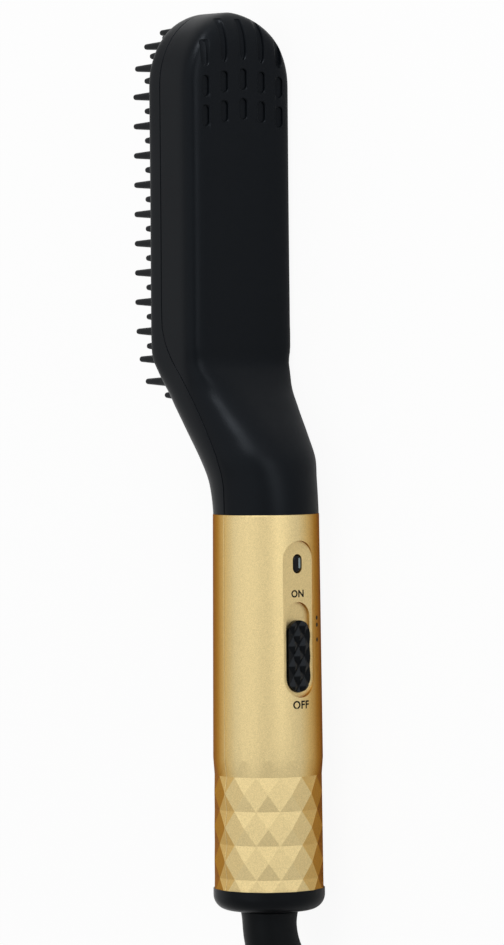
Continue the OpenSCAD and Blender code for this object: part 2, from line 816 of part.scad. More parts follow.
module indicator_lens() color("#33302a") lay()
    slot_solid(2.9 - 2 * fit_gap, window_t - 2.45 + fit_gap, window_t + 2.45 - fit_gap,
        -panel_floor + 0.15, -pad_inner);

// knob with rows of diamonds, and the stem that reaches through the track to the carrier
module switch_knob() color(black) lay() {
    base_y = -track_floor - run_gap;
    top_y = -knob_face + knob_relief;
    cell_x = knob_width / 4;
    cell_t = knob_length / 9;
    slot_solid(knob_width, knob_low_t, knob_low_t + knob_length, top_y, base_y);
    for (i = [-1 : 1], j = [-3 : 3])
        if ((i + j) % 2 == 0)
            translate([i * cell_x, top_y + 0.02, knob_mid_t + j * cell_t])
                rotate([90, 0, 0]) scale([0.93 * cell_x, 0.93 * cell_t, 1])
                    cylinder(r1 = 1, r2 = 0.08, h = knob_relief, $fn = 4);
    slot_solid(stem_width, knob_mid_t - stem_length / 2, knob_mid_t + stem_length / 2, base_y - 0.2,
        -pad_inner + run_gap);
}

module switch_carrier() color(copper) lay()
    block([-3, 3], [-pad_inner + run_gap, -pad_inner + run_gap + carrier_thick],
        [knob_mid_t - 4.2, knob_mid_t + 4.2]);

module supply_wires() color("#2b5a9c") lay()
    for (side = [0, 1])
        mirror([side, 0, 0]) cord_tube(supply_route, 0.9, 8);

module swivel_hub() color(metal) lay() {
    difference() {
        union() {
            cylinder(r = hub_neck_r, h = cap_floor + 1);
            translate([0, 0, cap_floor + run_gap]) cylinder(r = hub_flange_r, h = 1.8);
        }
        translate([0, 0, -5]) cylinder(r = hub_bore_r, h = 20);
    }
}

// boot with a spigot that fills the hub
module cord_boot() color(black) lay() {
    difference() {
        translate([0, 0, -boot_gap - 1]) cylinder(r = hub_bore_r - 0.05, h = boot_gap + cap_floor + 2.6);
        translate([0, 0, 1]) cylinder(r = 2, h = 20);
    }
    tube(
        [for (s = boot_stations) boot_axis(s[0])],
        [for (s = boot_stations) boot_radius(s[0]) - s[1]],
        16
    );
}

module cord_lead() color(black) lay()
    cord_tube(lead_route, cord_r, 12);

module cord_tail() color(black) lay()
    cord_tube(tail_route, cord_r, 12);

// extrudes an outline drawn across and along the floor, between two heights above it
module upright(low, high) {
    translate([floor_x - high, 0, 0]) rotate([90, 0, 90]) linear_extrude(height = high - low) children();
}

module hank_outline() {
    ends = [hank_low_t - hank_end_r, hank_end_t + hank_end_r];
    difference() {
        offset(r = -waist_fillet) offset(delta = waist_fillet) {
            for (t = ends) translate([mid_y, t]) circle(r = hank_end_r);
            translate([mid_y - waist_width / 2, ends[1]]) square([waist_width, ends[0] - ends[1]]);
        }
        for (t = ends)
            hull() {
                translate([mid_y, t]) circle(r = hank_end_r - 2 * cord_d - 0.2);
                translate([mid_y, t + 0.72 * (tie_t - t)]) circle(r = 0.6);
            }
    }
}

module cord_hank() color(black) lay() {
    difference() {
        upright(0, hank_height) hank_outline();
        difference() {
            upright(-1, hank_height + 1)
                translate([mid_y - 40, tie_t - tie_width / 2]) square([80, tie_width]);
            upright(tie_thick, hank_height - tie_thick)
                translate([mid_y - waist_width / 2 + tie_thick, tie_t - tie_width])
                    square([waist_width - 2 * tie_thick, 2 * tie_width]);
        }
    }
}

module cord_tie() color(black) lay() {
    difference() {
        upright(0, hank_height)
            translate([mid_y - waist_width / 2, tie_t - tie_width / 2]) square([waist_width, tie_width]);
        upright(tie_thick, hank_height - tie_thick)
            translate([mid_y - waist_width / 2 + tie_thick, tie_t - tie_width])
                square([waist_width - 2 * tie_thick, 2 * tie_width]);
    }
}

plug_shape = [
    [0, 0.98, 0.94], [1.2, 1, 1], [9, 0.985, 1], [16, 0.86, 0.98], [24, 0.58, 0.9], [29, 0.3, 0.72],
    [36, 0.24, 0.58]
];
module plug_body() color(black) lay()
    skin([
        for (p = plug_shape)
            [for (a = [0 : 12 : 348]) [
                plug_x + plug_height / 2 * p[2] * signed_power(cos(a), 0.5),
                plug_y + plug_width / 2 * p[1] * signed_power(sin(a), 0.5),
                plug_face_t + p[0] * plug_length / 36
            ]]
    ]);

module plug_pins() color(metal) lay()
    for (side = [-1, 1])
        translate([plug_x, plug_y + side * pin_spacing / 2, plug_face_t - pin_length]) {
            translate([0, 0, 1]) cylinder(d = pin_d, h = pin_length - 1);
            cylinder(d1 = pin_d - 1.4, d2 = pin_d, h = 1);
        }

head_back_shell();
head_front_frame();
comb_guard();
heating_plate();
heater_element();
insulation_film();
heater_clamp();
plate_screws();
thermal_fuse();
thermostat();
neck_wires();
handle_back_shell();
handle_front_shell();
handle_screws();
end_cap();
circuit_board();
slide_switch();
control_chip();
indicator_led();
indicator_lens();
switch_knob();
switch_carrier();
supply_wires();
swivel_hub();
cord_boot();
cord_lead();
cord_hank();
cord_tie();
cord_tail();
plug_body();
plug_pins();
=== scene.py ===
# Heated beard comb on its side, in the row frame and in metres. Section shapes follow part.scad.
from math import acos, atan2, copysign, cos, dist, floor, pi, radians, sin, sqrt

import bmesh
import bpy
import numpy as np
from mathutils import Matrix, Vector


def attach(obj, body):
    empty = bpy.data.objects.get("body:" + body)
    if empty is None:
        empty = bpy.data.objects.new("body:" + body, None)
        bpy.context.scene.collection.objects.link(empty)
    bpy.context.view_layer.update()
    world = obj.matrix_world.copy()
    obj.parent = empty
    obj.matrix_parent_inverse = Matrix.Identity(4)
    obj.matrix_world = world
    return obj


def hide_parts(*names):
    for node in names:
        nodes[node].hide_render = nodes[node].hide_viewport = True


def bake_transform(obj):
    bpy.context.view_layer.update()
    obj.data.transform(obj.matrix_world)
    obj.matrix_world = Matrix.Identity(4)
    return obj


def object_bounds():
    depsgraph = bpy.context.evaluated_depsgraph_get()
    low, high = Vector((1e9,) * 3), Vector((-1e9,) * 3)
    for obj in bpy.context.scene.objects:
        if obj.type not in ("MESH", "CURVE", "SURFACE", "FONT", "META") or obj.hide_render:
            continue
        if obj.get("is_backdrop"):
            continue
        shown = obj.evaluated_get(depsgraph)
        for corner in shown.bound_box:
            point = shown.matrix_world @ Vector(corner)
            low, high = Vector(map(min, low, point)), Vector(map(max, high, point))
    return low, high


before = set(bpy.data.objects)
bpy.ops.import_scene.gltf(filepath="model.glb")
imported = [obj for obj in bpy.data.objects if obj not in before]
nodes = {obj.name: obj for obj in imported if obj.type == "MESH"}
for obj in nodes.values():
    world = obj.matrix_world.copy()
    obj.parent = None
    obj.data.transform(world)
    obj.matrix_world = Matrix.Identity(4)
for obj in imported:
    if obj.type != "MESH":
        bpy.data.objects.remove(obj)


def saveBounds(sizes):
    {name: [list(c) for c in pair] for name, pair in sizes.items()}


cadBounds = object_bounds()
saveBounds({"cad": cadBounds})
print("stage: frame loaded")

# shared sizes, millimetres
tool = {"length": 230.0, "joint": 101.4, "capHeight": 5.6, "gripR": 14.3, "neckR": 13.6, "wall": 2.0}
midY = (37.1 - 14.3) / 2
halfWidth = 16.8


def row(x, f, t):
    # upright tool position (across, towards the teeth, up from the end cap) as a point in the row frame
    return Vector(((t - tool["length"] / 2) / 1000, (f - midY) / 1000, (halfWidth - x) / 1000))


def handleRadius(t):
    span = tool["joint"] - tool["capHeight"]
    return tool["gripR"] + (tool["neckR"] - tool["gripR"]) * (t - tool["capHeight"]) / span


def clamp(value, low=0.0, high=1.0):
    return min(high, max(low, value))


def arcPoints(r, angles, centreX, centreY):
    # points of an arc of radius r, angles in degrees
    return [(centreX + r * cos(a), centreY + r * sin(a)) for a in map(radians, angles)]


def addObject(name, data):
    obj = bpy.data.objects.new(name, data)
    bpy.context.scene.collection.objects.link(obj)
    return obj


# camera
camera = {"elevation": 38.0, "distance": 1.34, "lean": 0.51, "pixelsPerMm": 3.91, "frameHeight": 945,
          "zeroPixel": 910, "levelPixel": 316, "sideShift": 13.55}


def makeCamera():
    elevation = radians(camera["elevation"])
    back = Vector((0, -cos(elevation), sin(elevation)))
    left = Vector((0, sin(elevation), cos(elevation)))
    perMm = camera["pixelsPerMm"]
    midT = (camera["zeroPixel"] - camera["frameHeight"] / 2) / perMm
    levelT = (camera["zeroPixel"] - camera["levelPixel"]) / perMm
    target = row(0, 0, midT) + left * camera["sideShift"] / perMm / 1000
    place = target + back * camera["distance"] + Vector(((levelT - midT) / 1000, 0, 0))
    lean = radians(camera["lean"])
    sight = (target - place).normalized()
    side = sight.cross(Vector((1, 0, 0)) * cos(lean) - left * sin(lean)).normalized()
    upward = side.cross(sight)
    cam = addObject("camera", bpy.data.cameras.new("camera"))
    cam.matrix_world = Matrix.Translation(place) @ Matrix((side, upward, -sight)).transposed().to_4x4()
    cam.data.sensor_width = 36
    cam.data.lens = cam.data.sensor_width * (target - place).length / (camera["frameHeight"] / perMm / 1000)
    cam.data.clip_end = 20
    bpy.context.scene.camera = cam


makeCamera()
bpy.context.scene.view_settings.view_transform = "Standard"


# node helpers
def srgb(text):
    values = [int(text[i : i + 2], 16) / 255 for i in (1, 3, 5)]
    return [v / 12.92 if v <= 0.04045 else ((v + 0.055) / 1.055) ** 2.4 for v in values] + [1.0]


def addNode(tree, kind, inputs=None, **props):
    # a node given as an input is linked by its first output
    made = tree.nodes.new("ShaderNode" + kind)
    for key, value in props.items():
        setattr(made, key, value)
    for key, value in (inputs or {}).items():
        value = value.outputs[0] if isinstance(value, bpy.types.Node) else value
        if isinstance(value, bpy.types.NodeSocket):
            tree.links.new(value, made.inputs[key])
        else:
            made.inputs[key].default_value = value
    return made


def newMaterial(name, colour, inputs):
    # material with one Principled shader, and the Object coordinates for its patterns
    mat = bpy.data.materials.new(name)
    mat.use_nodes = True
    tree = mat.node_tree
    tree.nodes.clear()
    shader = addNode(tree, "BsdfPrincipled", {"Base Color": srgb(colour)} | inputs)
    addNode(tree, "OutputMaterial", {"Surface": shader})
    return mat, tree, shader, addNode(tree, "TexCoord").outputs["Object"]


def noiseBump(tree, shader, place, perMm, height):
    grain = addNode(tree, "TexNoise", {"Vector": place, "Scale": perMm * 1000, "Detail": 2.0})
    bump = addNode(tree, "Bump", {"Height": grain, "Distance": height / 1000, "Strength": 1.0})
    tree.links.new(bump.outputs["Normal"], shader.inputs["Normal"])


def plastic(name, colour, roughness, grain, depth):
    # injection-moulded plastic with a fine eroded-mould texture, grain per millimetre
    mat, tree, shader, place = newMaterial(name, colour, {"Specular IOR Level": 0.12,
                                                          "Specular Tint": srgb("#DCE6F2")})
    noiseBump(tree, shader, place, grain, depth)
    # handling leaves the gloss slightly uneven over a centimetre or two
    cloud = addNode(tree, "TexNoise", {"Vector": place, "Scale": 70.0, "Detail": 3.0})
    spread = addNode(tree, "MapRange", {"Value": cloud, "From Min": 0.3, "From Max": 0.7,
                                                 "To Min": roughness - 0.03, "To Max": roughness + 0.03})
    tree.links.new(spread.outputs[0], shader.inputs["Roughness"])
    return mat


def metal(name, colour, roughness, grain=0.0, stretch=(1, 1, 1)):
    # bare metal; grain per millimetre drawn out along one axis where it was rolled or turned
    mat, tree, shader, place = newMaterial(name, colour, {"Metallic": 1.0, "Roughness": roughness})
    if grain:
        mapping = addNode(tree, "Mapping", {"Vector": place, "Scale": stretch})
        noiseBump(tree, shader, mapping.outputs[0], grain, 0.003)
    return mat


def plain(name, colour, roughness, specular=0.5):
    # one even finish with no pattern, for small and hidden pieces
    return newMaterial(name, colour, {"Roughness": roughness, "Specular IOR Level": specular})[0]


def clearPlastic(name, colour, roughness, transmission):
    return newMaterial(name, colour, {"Roughness": roughness, "Transmission Weight": transmission,
                                      "Specular IOR Level": 0.14, "IOR": 1.49})[0]


# the steps and the edge colour are painted shade, laid on the gold by how edge-on the surface is seen
lacquer = {"face": "#DCC792", "steps": ((0.36, "#D6B674"), (0.58, "#B6863E")), "edge": "#985F20", "flakesPerMm": 7}


def goldLacquer(name):
    # metallic lacquer sprayed on plastic: fine flake, and painted shade: the gold is painted deeper and darker where
    # the surface is seen edge-on
    mat, tree, shader, place = newMaterial(name, lacquer["face"], {"Metallic": 0.85, "Roughness": 0.42,
                                                                   "Specular Tint": srgb("#D8B078")})
    facing = addNode(tree, "LayerWeight", {"Blend": 0.5})
    # painted shade: this ramp darkens the gold towards the edges that are seen edge-on
    tint = addNode(tree, "ValToRGB", {"Fac": facing.outputs["Facing"]})
    ramp = tint.color_ramp
    ramp.elements[0].position, ramp.elements[0].color = 0.2, srgb(lacquer["face"])
    ramp.elements[1].position, ramp.elements[1].color = 0.85, srgb(lacquer["edge"])
    for spot, colour in lacquer["steps"]:
        ramp.elements.new(spot).color = srgb(colour)
    flake = addNode(tree, "TexVoronoi", {"Vector": place, "Scale": lacquer["flakesPerMm"] * 1000})
    speck = addNode(tree, "SeparateColor", {"Color": flake.outputs["Color"]})
    level = addNode(tree, "MapRange", {"Value": speck, "To Min": 0.86, "To Max": 1.1})
    grey = addNode(tree, "CombineColor", {0: level, 1: level, 2: level})
    shade = addNode(tree, "Mix", {"Factor": 1.0, 6: tint, 7: grey}, data_type="RGBA",
                    blend_type="MULTIPLY")
    tree.links.new(shade.outputs[2], shader.inputs["Base Color"])
    tilt = addNode(tree, "Bump", {"Height": speck.outputs[1], "Distance": 0.000012, "Strength": 1.0})
    tree.links.new(tilt.outputs["Normal"], shader.inputs["Normal"])
    return mat


# mesh helpers
def dress(mesh, mats):
    # mats is a material or a list of them
    mesh.materials.clear()
    for mat in mats if isinstance(mats, list) else [mats]:
        mesh.materials.append(mat)


def placeMesh(name, mesh, mats, body="tool", slot=None, replaces=(), angle=30):
    # edges sharper than the angle stay sharp, and no angle leaves all flat
    obj = addObject(name, mesh)
    dress(mesh, mats)
    if angle:
        mesh.shade_smooth()
        mesh.set_sharp_from_angle(angle=radians(angle))
    if body:
        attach(obj, body)
    if replaces:
        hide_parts(*replaces)
    return obj


def meshFrom(bm, name="temp"):
    mesh = bpy.data.meshes.new(name)
    bm.to_mesh(mesh)
    bm.free()
    return mesh


def finishMesh(name, bm, mats, **ways):
    bm.normal_update()
    bmesh.ops.recalc_face_normals(bm, faces=bm.faces)
    return placeMesh(name, meshFrom(bm, name), mats, **ways)


def ringMesh(rings, capEnds=True):
    # the first ring is drawn and then extruded from ring to ring
    def around(line):
        return zip(line, line[1:] + line[:1])

    bm = bmesh.new()
    line = [bm.verts.new(p) for p in rings[0]]
    first = edges = [bm.edges.new(pair) for pair in around(line)]
    for ring in rings[1:]:
        made = set(bmesh.ops.extrude_edge_only(bm, edges=edges)["geom"])
        line = [next(e.other_vert(v) for e in v.link_edges if e.other_vert(v) in made) for v in line]
        edges = [bm.edges.get(pair) for pair in around(line)]
        for v, p in zip(line, ring):
            v.co = p
    if capEnds:
        for loop in (first, edges):
            bmesh.ops.edgeloop_fill(bm, edges=loop)
    return bm


def joinBm(parts):
    whole = bmesh.new()
    for part in parts:
        mesh = meshFrom(part)
        whole.from_mesh(mesh)
        bpy.data.meshes.remove(mesh)
    return whole


def faceOutward(bm):
    bm.normal_update()
    bmesh.ops.recalc_face_normals(bm, faces=bm.faces)
    if bm.calc_volume(signed=True) < 0:
        bmesh.ops.reverse_faces(bm, faces=bm.faces)
    return bm


def onlyVerts(geom):
    return [g for g in geom if isinstance(g, bmesh.types.BMVert)]


def edgesOn(bm, axis, level, slack=1e-7):
    # edges that lie in the plane across the axis (0 to 2) at the level
    return [e for e in bm.edges if all(abs(v.co[axis] - level) < slack for v in e.verts)]


def bevelEdges(bm, edges, width, segments=2):
    bmesh.ops.bevel(bm, geom=edges, offset=width / 1000, offset_type="OFFSET", segments=segments, profile=0.5,
                    affect="EDGES", material=-1)


def cutMesh(target, cutters, mode="DIFFERENCE"):
    # a cutter is a bmesh, or a list of separate ones that cut in one go; gives back the result as a bmesh
    def temp(parts):
        return addObject("temp", meshFrom(joinBm([faceOutward(part) for part in parts])))

    base = temp([target])
    tools = [temp(c if isinstance(c, list) else [c]) for c in cutters]
    for knife in tools:
        mod = base.modifiers.new("cut", "BOOLEAN")
        mod.object = knife
        mod.operation = mode
        mod.solver = "EXACT"
    bpy.context.view_layer.update()
    graph = bpy.context.evaluated_depsgraph_get()
    result = bmesh.new()
    result.from_mesh(base.evaluated_get(graph).to_mesh())
    base.evaluated_get(graph).to_mesh_clear()
    for obj in [base] + tools:
        mesh = obj.data
        bpy.data.objects.remove(obj)
        bpy.data.meshes.remove(mesh)
    return result


def pillBm(width, lowT, highT, fromF, toF, x=0.0, steps=20, grow=0.0):
    # slot-shaped prism that stands on the back or front of the tool; grow widens its outer end
    half = width / 2
    turns = [180 * k / steps for k in range(steps + 1)]
    outline = arcPoints(half, turns, 0, highT - half) + arcPoints(half, [a + 180 for a in turns], 0, lowT + half)
    midT = (lowT + highT) / 2
    rings = []
    for f, wide in ((fromF, 1 + grow / half), (toF, 1.0)):
        long_ = 1 + (wide - 1) * half / (highT - midT)
        rings.append([row(x + px * wide, f, midT + (t - midT) * long_) for px, t in outline])
    return ringMesh(rings)


def boxBm(x, f, t, bevel=0.0):
    bm = bmesh.new()
    bmesh.ops.create_cube(bm, size=1)
    lo, hi = row(x[0], f[0], t[0]), row(x[1], f[1], t[1])
    for v in bm.verts:
        v.co = Vector([(lo[i] + hi[i]) / 2 + (hi[i] - lo[i]) * v.co[i] for i in range(3)])
    if bevel:
        bevelEdges(bm, bm.edges[:], bevel)
    return bm


def latheBm(profile, place, steps):
    # profile of (radius, height) turned about the axis of the matrix place, in millimetres
    bm = bmesh.new()
    chain = [bm.verts.new((r / 1000, 0, h / 1000)) for r, h in profile]
    edges = [bm.edges.new(pair) for pair in zip(chain, chain[1:])]
    bmesh.ops.spin(bm, geom=chain + edges, cent=(0, 0, 0), axis=(0, 0, 1), angle=2 * pi, steps=steps,
                   use_merge=True)
    bmesh.ops.remove_doubles(bm, verts=bm.verts[:], dist=1e-7)
    bmesh.ops.transform(bm, matrix=place, verts=bm.verts[:])
    return bm


def alongTool(t):
    # place whose own z runs up the tool from height t
    return Matrix.Translation(row(0, 0, t)) @ Matrix(((0, 0, 1), (0, 1, 0), (-1, 0, 0))).to_4x4()


def towardsFront(x, f, t):
    # place whose own z runs towards the teeth
    return Matrix.Translation(row(x, f, t)) @ Matrix(((1, 0, 0), (0, 0, 1), (0, -1, 0))).to_4x4()


print("stage: helpers ready")

# neck and head surface
# rows of height, back level, front level, half width, roundness of the back, roundness of the front
shape = [
    [95.4, -13.5, 13.5, 13.5, 2, 2],
    [101.4, -13.5, 13.5, 13.5, 2, 2],
    [106, -13.2, 14.1, 13.6, 2, 2],
    [110.3, -12.5, 15.1, 13.8, 2.05, 2.05],
    [115.4, -11, 17.6, 14.5, 2.2, 2.1],
    [121, -7.3, 21, 15, 2.3, 2.2],
    [128.2, -1.1, 24.3, 15.6, 2.7, 2.6],
    [134.1, 3.9, 26.5, 16.1, 3.4, 3.3],
    [139, 7.5, 27.2, 16.5, 5.6, 6],
    [141, 8, 27.2, 16.6, 6.4, 10],
    [143.4, 8, 27.2, 16.8, 7, 12],
    [150, 8, 27.2, 16.8, 7, 13],
    [180, 8, 27.2, 16.7, 7, 13],
    [211, 8, 27.2, 16.7, 7, 13],
    [240, 8, 27.2, 16.7, 7, 13],
]
head = {"arch": 19.0, "half": 16.7, "wall": 2.0, "sideWall": 2.8, "roomTop": 227.6, "seamGroove": 0.35,
        "seamWidth": 0.22, "backRounding": (10, 6.4), "frontRounding": (5, 2.6), "straightFrom": 150, "steps": 72}
seamLine = [(81, 0), (108, 0), (112, 0.6), (116.2, 1.8), (123.6, 5.7), (130, 9.6), (135.9, 13.6), (141, 17.6),
            (145.4, 20), (149, 21.1), (153, 21.3), (235, 21.3)]


def shapeValue(t, c):
    i = 1
    while i < len(shape) - 3 and t >= shape[i + 1][0]:
        i += 1
    a, b = shape[i], shape[i + 1]
    h = b[0] - a[0]
    u = (t - a[0]) / h
    ma = (b[c] - shape[i - 1][c]) / (b[0] - shape[i - 1][0])
    mb = (shape[i + 2][c] - a[c]) / (shape[i + 2][0] - a[0])
    return (a[c] * (2 * u**3 - 3 * u**2 + 1) + b[c] * (3 * u**2 - 2 * u**3)
            + h * ma * (u**3 - 2 * u**2 + u) + h * mb * (u**3 - u**2))


def archShare(t):
    return clamp((t - tool["length"] + head["arch"]) / head["arch"])


def edgeDrop(t, depth, size):
    v = clamp((t - tool["length"] + depth) / depth)
    return size * (1 - sqrt(1 - v * v))


def section(t):
    # back level, front level, half width and the two roundnesses of the section at height t
    share = archShare(t)
    low = shapeValue(t, 1) + edgeDrop(t, *head["backRounding"])
    high = shapeValue(t, 2) - edgeDrop(t, *head["frontRounding"])
    half = shapeValue(t, 3) * sqrt(1 - share * share)
    rounds = [shapeValue(t, c) + (3 - shapeValue(t, c)) * share * share for c in (4, 5)]
    return low, high, half, rounds[0], rounds[1]


def sectionPoint(sec, a):
    # point of the section's outline in the direction a from its middle
    low, high, half, roundBack, roundFront = sec
    c, s = cos(a), sin(a)
    n = roundFront if s > 0 else roundBack
    reach = (abs(c) ** n + abs(s) ** n) ** (-1 / n)
    return half * reach * c, (low + high) / 2 + (high - low) / 2 * reach * s


def seamLevel(t):
    return float(np.interp(t, *zip(*seamLine)))


def seamAngle(sec, t):
    low, high, half, roundBack, roundFront = sec
    q = clamp((seamLevel(t) - (low + high) / 2) / ((high - low) / 2), -0.97, 0.97)
    n = roundFront if q > 0 else roundBack
    return atan2(q, (1 - abs(q) ** n) ** (1 / n))


def sectionLine(sec, start, stop, steps, edge=0.0):
    # outline from angle start to stop in even steps, with an extra point close to each end
    xs, fs = np.array([sectionPoint(sec, start + (stop - start) * k / 600) for k in range(601)]).T
    along = np.concatenate([[0], np.cumsum(np.hypot(np.diff(xs), np.diff(fs)))])
    total = along[-1]
    marks = np.linspace(0, total, steps + 1)
    if edge:
        edge = min(edge, total / steps / 2)
        marks = np.concatenate([[0, edge], np.linspace(edge, total - edge, steps - 1)[1:-1], [total - edge, total]])
    return [[float(np.interp(m, along, xs)), float(np.interp(m, along, fs))] for m in marks]


def headHeights(lower=46, middle=14, upper=26):
    # heights of the rings: the neck, the straight stretch and the arch, where they close up
    joint, low, high = tool["joint"], head["straightFrom"], tool["length"] - head["arch"]
    return ([joint + (low - joint) * i / lower for i in range(lower)]
            + [low + (high - low) * i / middle for i in range(middle)]
            + [high + head["arch"] * sin(pi / 2 * i / upper) for i in range(upper + 1)])


def headShellBm(front):
    # one moulding of the head: outer wall and inner wall joined at the seam, with a fine groove along the seam
    rings = []
    for t in headHeights():
        sec = section(t)
        a0 = seamAngle(sec, t)
        start, stop = (a0, pi - a0) if front else (a0, -pi - a0)
        outer = sectionLine(sec, start, stop, head["steps"], edge=head["seamWidth"])
        # both edges step in at the seam, which leaves its groove
        for end in (0, -1):
            outer[end][0] -= copysign(min(head["seamGroove"], abs(outer[end][0])), outer[end][0])
        share = (t - tool["joint"]) / (tool["length"] - tool["joint"])
        inT = tool["joint"] + share * (head["roomTop"] - tool["joint"])
        side = head["wall"] + (head["sideWall"] - head["wall"]) * clamp((t - 126) / 14)
        room = (sec[0] + head["wall"], sec[1] - head["wall"], max(0.0, sec[2] - side)) + sec[3:]
        inner = sectionLine(room, stop, start, head["steps"] // 3)
        rings.append([row(x, f, t) for x, f in outer] + [row(x, f, inT) for x, f in inner])
    bm = ringMesh(rings, capEnds=False)
    # the neck's lower edge, between the outer and inner wall
    bmesh.ops.triangle_fill(bm, use_beauty=True, edges=edgesOn(bm, 0, row(0, 0, tool["joint"]).x))
    bmesh.ops.remove_doubles(bm, verts=bm.verts[:], dist=2e-6)
    return bm


blackPlastic = plastic("black satin moulded plastic", "#07090C", 0.36, grain=2.5, depth=0.003)
guardPlastic = plastic("black heat-resistant moulded plastic", "#0A0B0D", 0.42, grain=2.5, depth=0.003)
goldPaint = goldLacquer("champagne metallic lacquer, sprayed")
capPlastic = plastic("black glossy moulded plastic", "#090A0B", 0.3, grain=3, depth=0.002)
knobPlastic = plastic("black polished moulded plastic", "#060708", 0.22, grain=3, depth=0.001)
cordRubber = plastic("black satin vinyl, extruded", "#0A0B0B", 0.4, grain=2, depth=0.004)

vents = {"x": [-11.9, -5.9, 0.2, 6.1, 12.0], "drop": [1.9, 0.7, 0.0, 0.7, 1.9], "rows": [205.0, 212.6],
         "width": 2.3, "length": 5.4, "depth": 0.6, "softEdge": 1.2, "grooveLow": 217.6, "grooveTop": 228.2,
         "grooveDepth": 1.0, "grooveSteps": 23, "slopeLimit": 0.25}


def backSurface(x, t):
    low, high, half, roundBack, roundFront = section(t)
    q = min(0.999, abs(x) / max(half, 0.1))
    return (low + high) / 2 - (high - low) / 2 * (1 - q**roundBack) ** (1 / roundBack)


def ventGroove(x, drop):
    # the upper grooves follow the rounded back edge of the arch and run out to nothing
    lowT = vents["grooveLow"] - drop
    reach = sqrt(1 - (abs(x) / (0.9 * head["half"])) ** 2)
    last, limit = min(vents["grooveTop"], tool["length"] - head["arch"] * (1 - reach)), vents["slopeLimit"]
    rings = []
    for k in range(vents["grooveSteps"] + 1):
        share = k / vents["grooveSteps"]
        t = lowT + (last - lowT) * sin(pi / 2 * share)
        half = vents["width"] / 2 * (1 - 0.5 * share**4)
        if k < 4:
            half *= sqrt(max(0.05, 1 - ((3.6 - k) / 3.6) ** 2))  # round lower end
        depth = vents["grooveDepth"] * (1 - 1.12 * share**4)
        # each side follows its own slope, up to a limit
        middle = backSurface(x, t)
        slope = [clamp(backSurface(x + side * half, t) - middle, -limit, limit) for side in (-1, 0, 1)]
        rings.append([row(x + side * half + wide, middle + slope[round(side) + 1] + df, t) for side, wide, df in
                      ((-1, -1.1, -1), (1, 1.1, -1), (1, 0, 0.15 * depth), (0.8, 0, 0.8 * depth), (0, 0, depth),
                       (-0.8, 0, 0.8 * depth), (-1, 0, 0.15 * depth))])
    return ringMesh(rings)


def makeBackShell():
    slots, edges = [], []
    for x, drop in zip(vents["x"], vents["drop"]):
        for t in vents["rows"]:
            low, high = t - drop - vents["length"] / 2, t - drop + vents["length"] / 2
            level = backSurface(x, t)
            slots.append(pillBm(vents["width"], low, high, 0, level + vents["depth"], x=x))
            edges.append(pillBm(vents["width"], low, high, level - 1, level + 0.2, x=x, grow=vents["softEdge"]))
        slots.append(ventGroove(x, drop))
    bm = cutMesh(headShellBm(False), [edges, slots])
    finishMesh("headBackShell", bm, blackPlastic, slot="black_plastic", replaces=["head_back_shell"], angle=40)


opening = {"lowT": 138.5, "side": 2.2, "corner": 5.0, "ledge": 25.1, "floor": 18.3, "floorMid": 183,
           "floorShare": (0.915, 0.975)}


def uniquePoints(points):
    kept = [points[0]]
    for p in points[1:]:
        if dist(p, kept[-1]) > 0.01:
            kept.append(p)
    if dist(kept[0], kept[-1]) < 0.01:
        kept.pop()
    return kept


def openingOutline(gap, steps=14):
    half = head["half"] - opening["side"] - gap
    top = tool["length"] - opening["side"] - gap
    corner = opening["corner"]
    low = opening["lowT"] + gap + corner
    mid = tool["length"] - head["arch"]
    points = arcPoints(corner, [90 * k / steps - 90 for k in range(steps + 1)], half - corner, low)
    points += [(half * cos(a), mid + (top - mid) * sin(a))
               for a in (pi / 4 * k / steps for k in range(2 * steps + 1))]
    return uniquePoints(points + [(-x, t) for x, t in points[::-1]])


def slabBm(outline, fromF, toF, bevel=0.0):
    bm = ringMesh([[row(x, f, t) for x, t in outline] for f in (fromF, toF)])
    if bevel:
        bevelEdges(bm, edgesOn(bm, 1, row(0, toF, 0).y), bevel, segments=3)
    return bm


tooth = {"half": 13.0, "pitch": 7.58, "first": 208.8, "longTip": 37.1, "shortTip": 32.3, "root": 1.25, "tip": 0.75,
         "arch": 15.0, "top": 226.5, "count": 9, "base": 26.9}
# teeth round the arch, in degrees from the side
archTeeth = (((18, 44, 71), tooth["longTip"]), ((5, 31, 57), tooth["shortTip"]))


def toothBm(x, t, base, tip):
    root, end, high = tooth["root"], tooth["tip"], tip - base
    profile = [(root + 0.35, 0), (root + 0.12, 0.35), (root, 0.9)]
    profile += [(end + (root - end) * (1 - u), 0.9 + (high - end - 0.9) * u) for u in (0.35, 0.7, 1.0)]
    profile += arcPoints(end, (25, 50, 72), 0, high - end) + [(0, high)]
    return latheBm(profile, towardsFront(x, base, t), steps=18)


# teeth moulded on the frame below the opening: across, height, root and tip levels
frameTeeth = [(-11.9, 135.2, 24.2, 34.4), (-8.4, 131.6, 24.0, 30.9), (11.9, 135.2, 24.2, 34.4),
              (8.4, 131.6, 24.0, 30.9), (0, 130.4, 24.4, 29.6)]


def makeFrontFrame():
    outline, mid = openingOutline(0), opening["floorMid"]
    across, along = opening["floorShare"]
    inside = uniquePoints([(x * across, mid + (t - mid) * along) for x, t in outline])
    bm = cutMesh(headShellBm(True), [slabBm(outline, opening["ledge"], 40)])
    bm = cutMesh(bm, [slabBm(inside, opening["floor"], 40)])
    finishMesh("headFrontFrame", joinBm([bm] + [toothBm(*spot) for spot in frameTeeth]), blackPlastic,
               slot="black_plastic", replaces=["head_front_frame"], angle=40)


makeBackShell()
makeFrontFrame()
print("stage: head shells")

# comb guard and heated fins
fins = {"first": 146.005, "count": 10, "width": 19.0, "thick": 1.6, "tip": 32.7, "notch": 28.6, "front": 22.8,
        "back": 20.6}
finHeights = [fins["first"] + i * tooth["pitch"] for i in range(fins["count"])]
rowHeights = [t + tooth["pitch"] / 2 + fins["thick"] / 2 for t in finHeights[:-1]]  # rows of teeth between the fins
screwRows = (1, fins["count"] - 2)


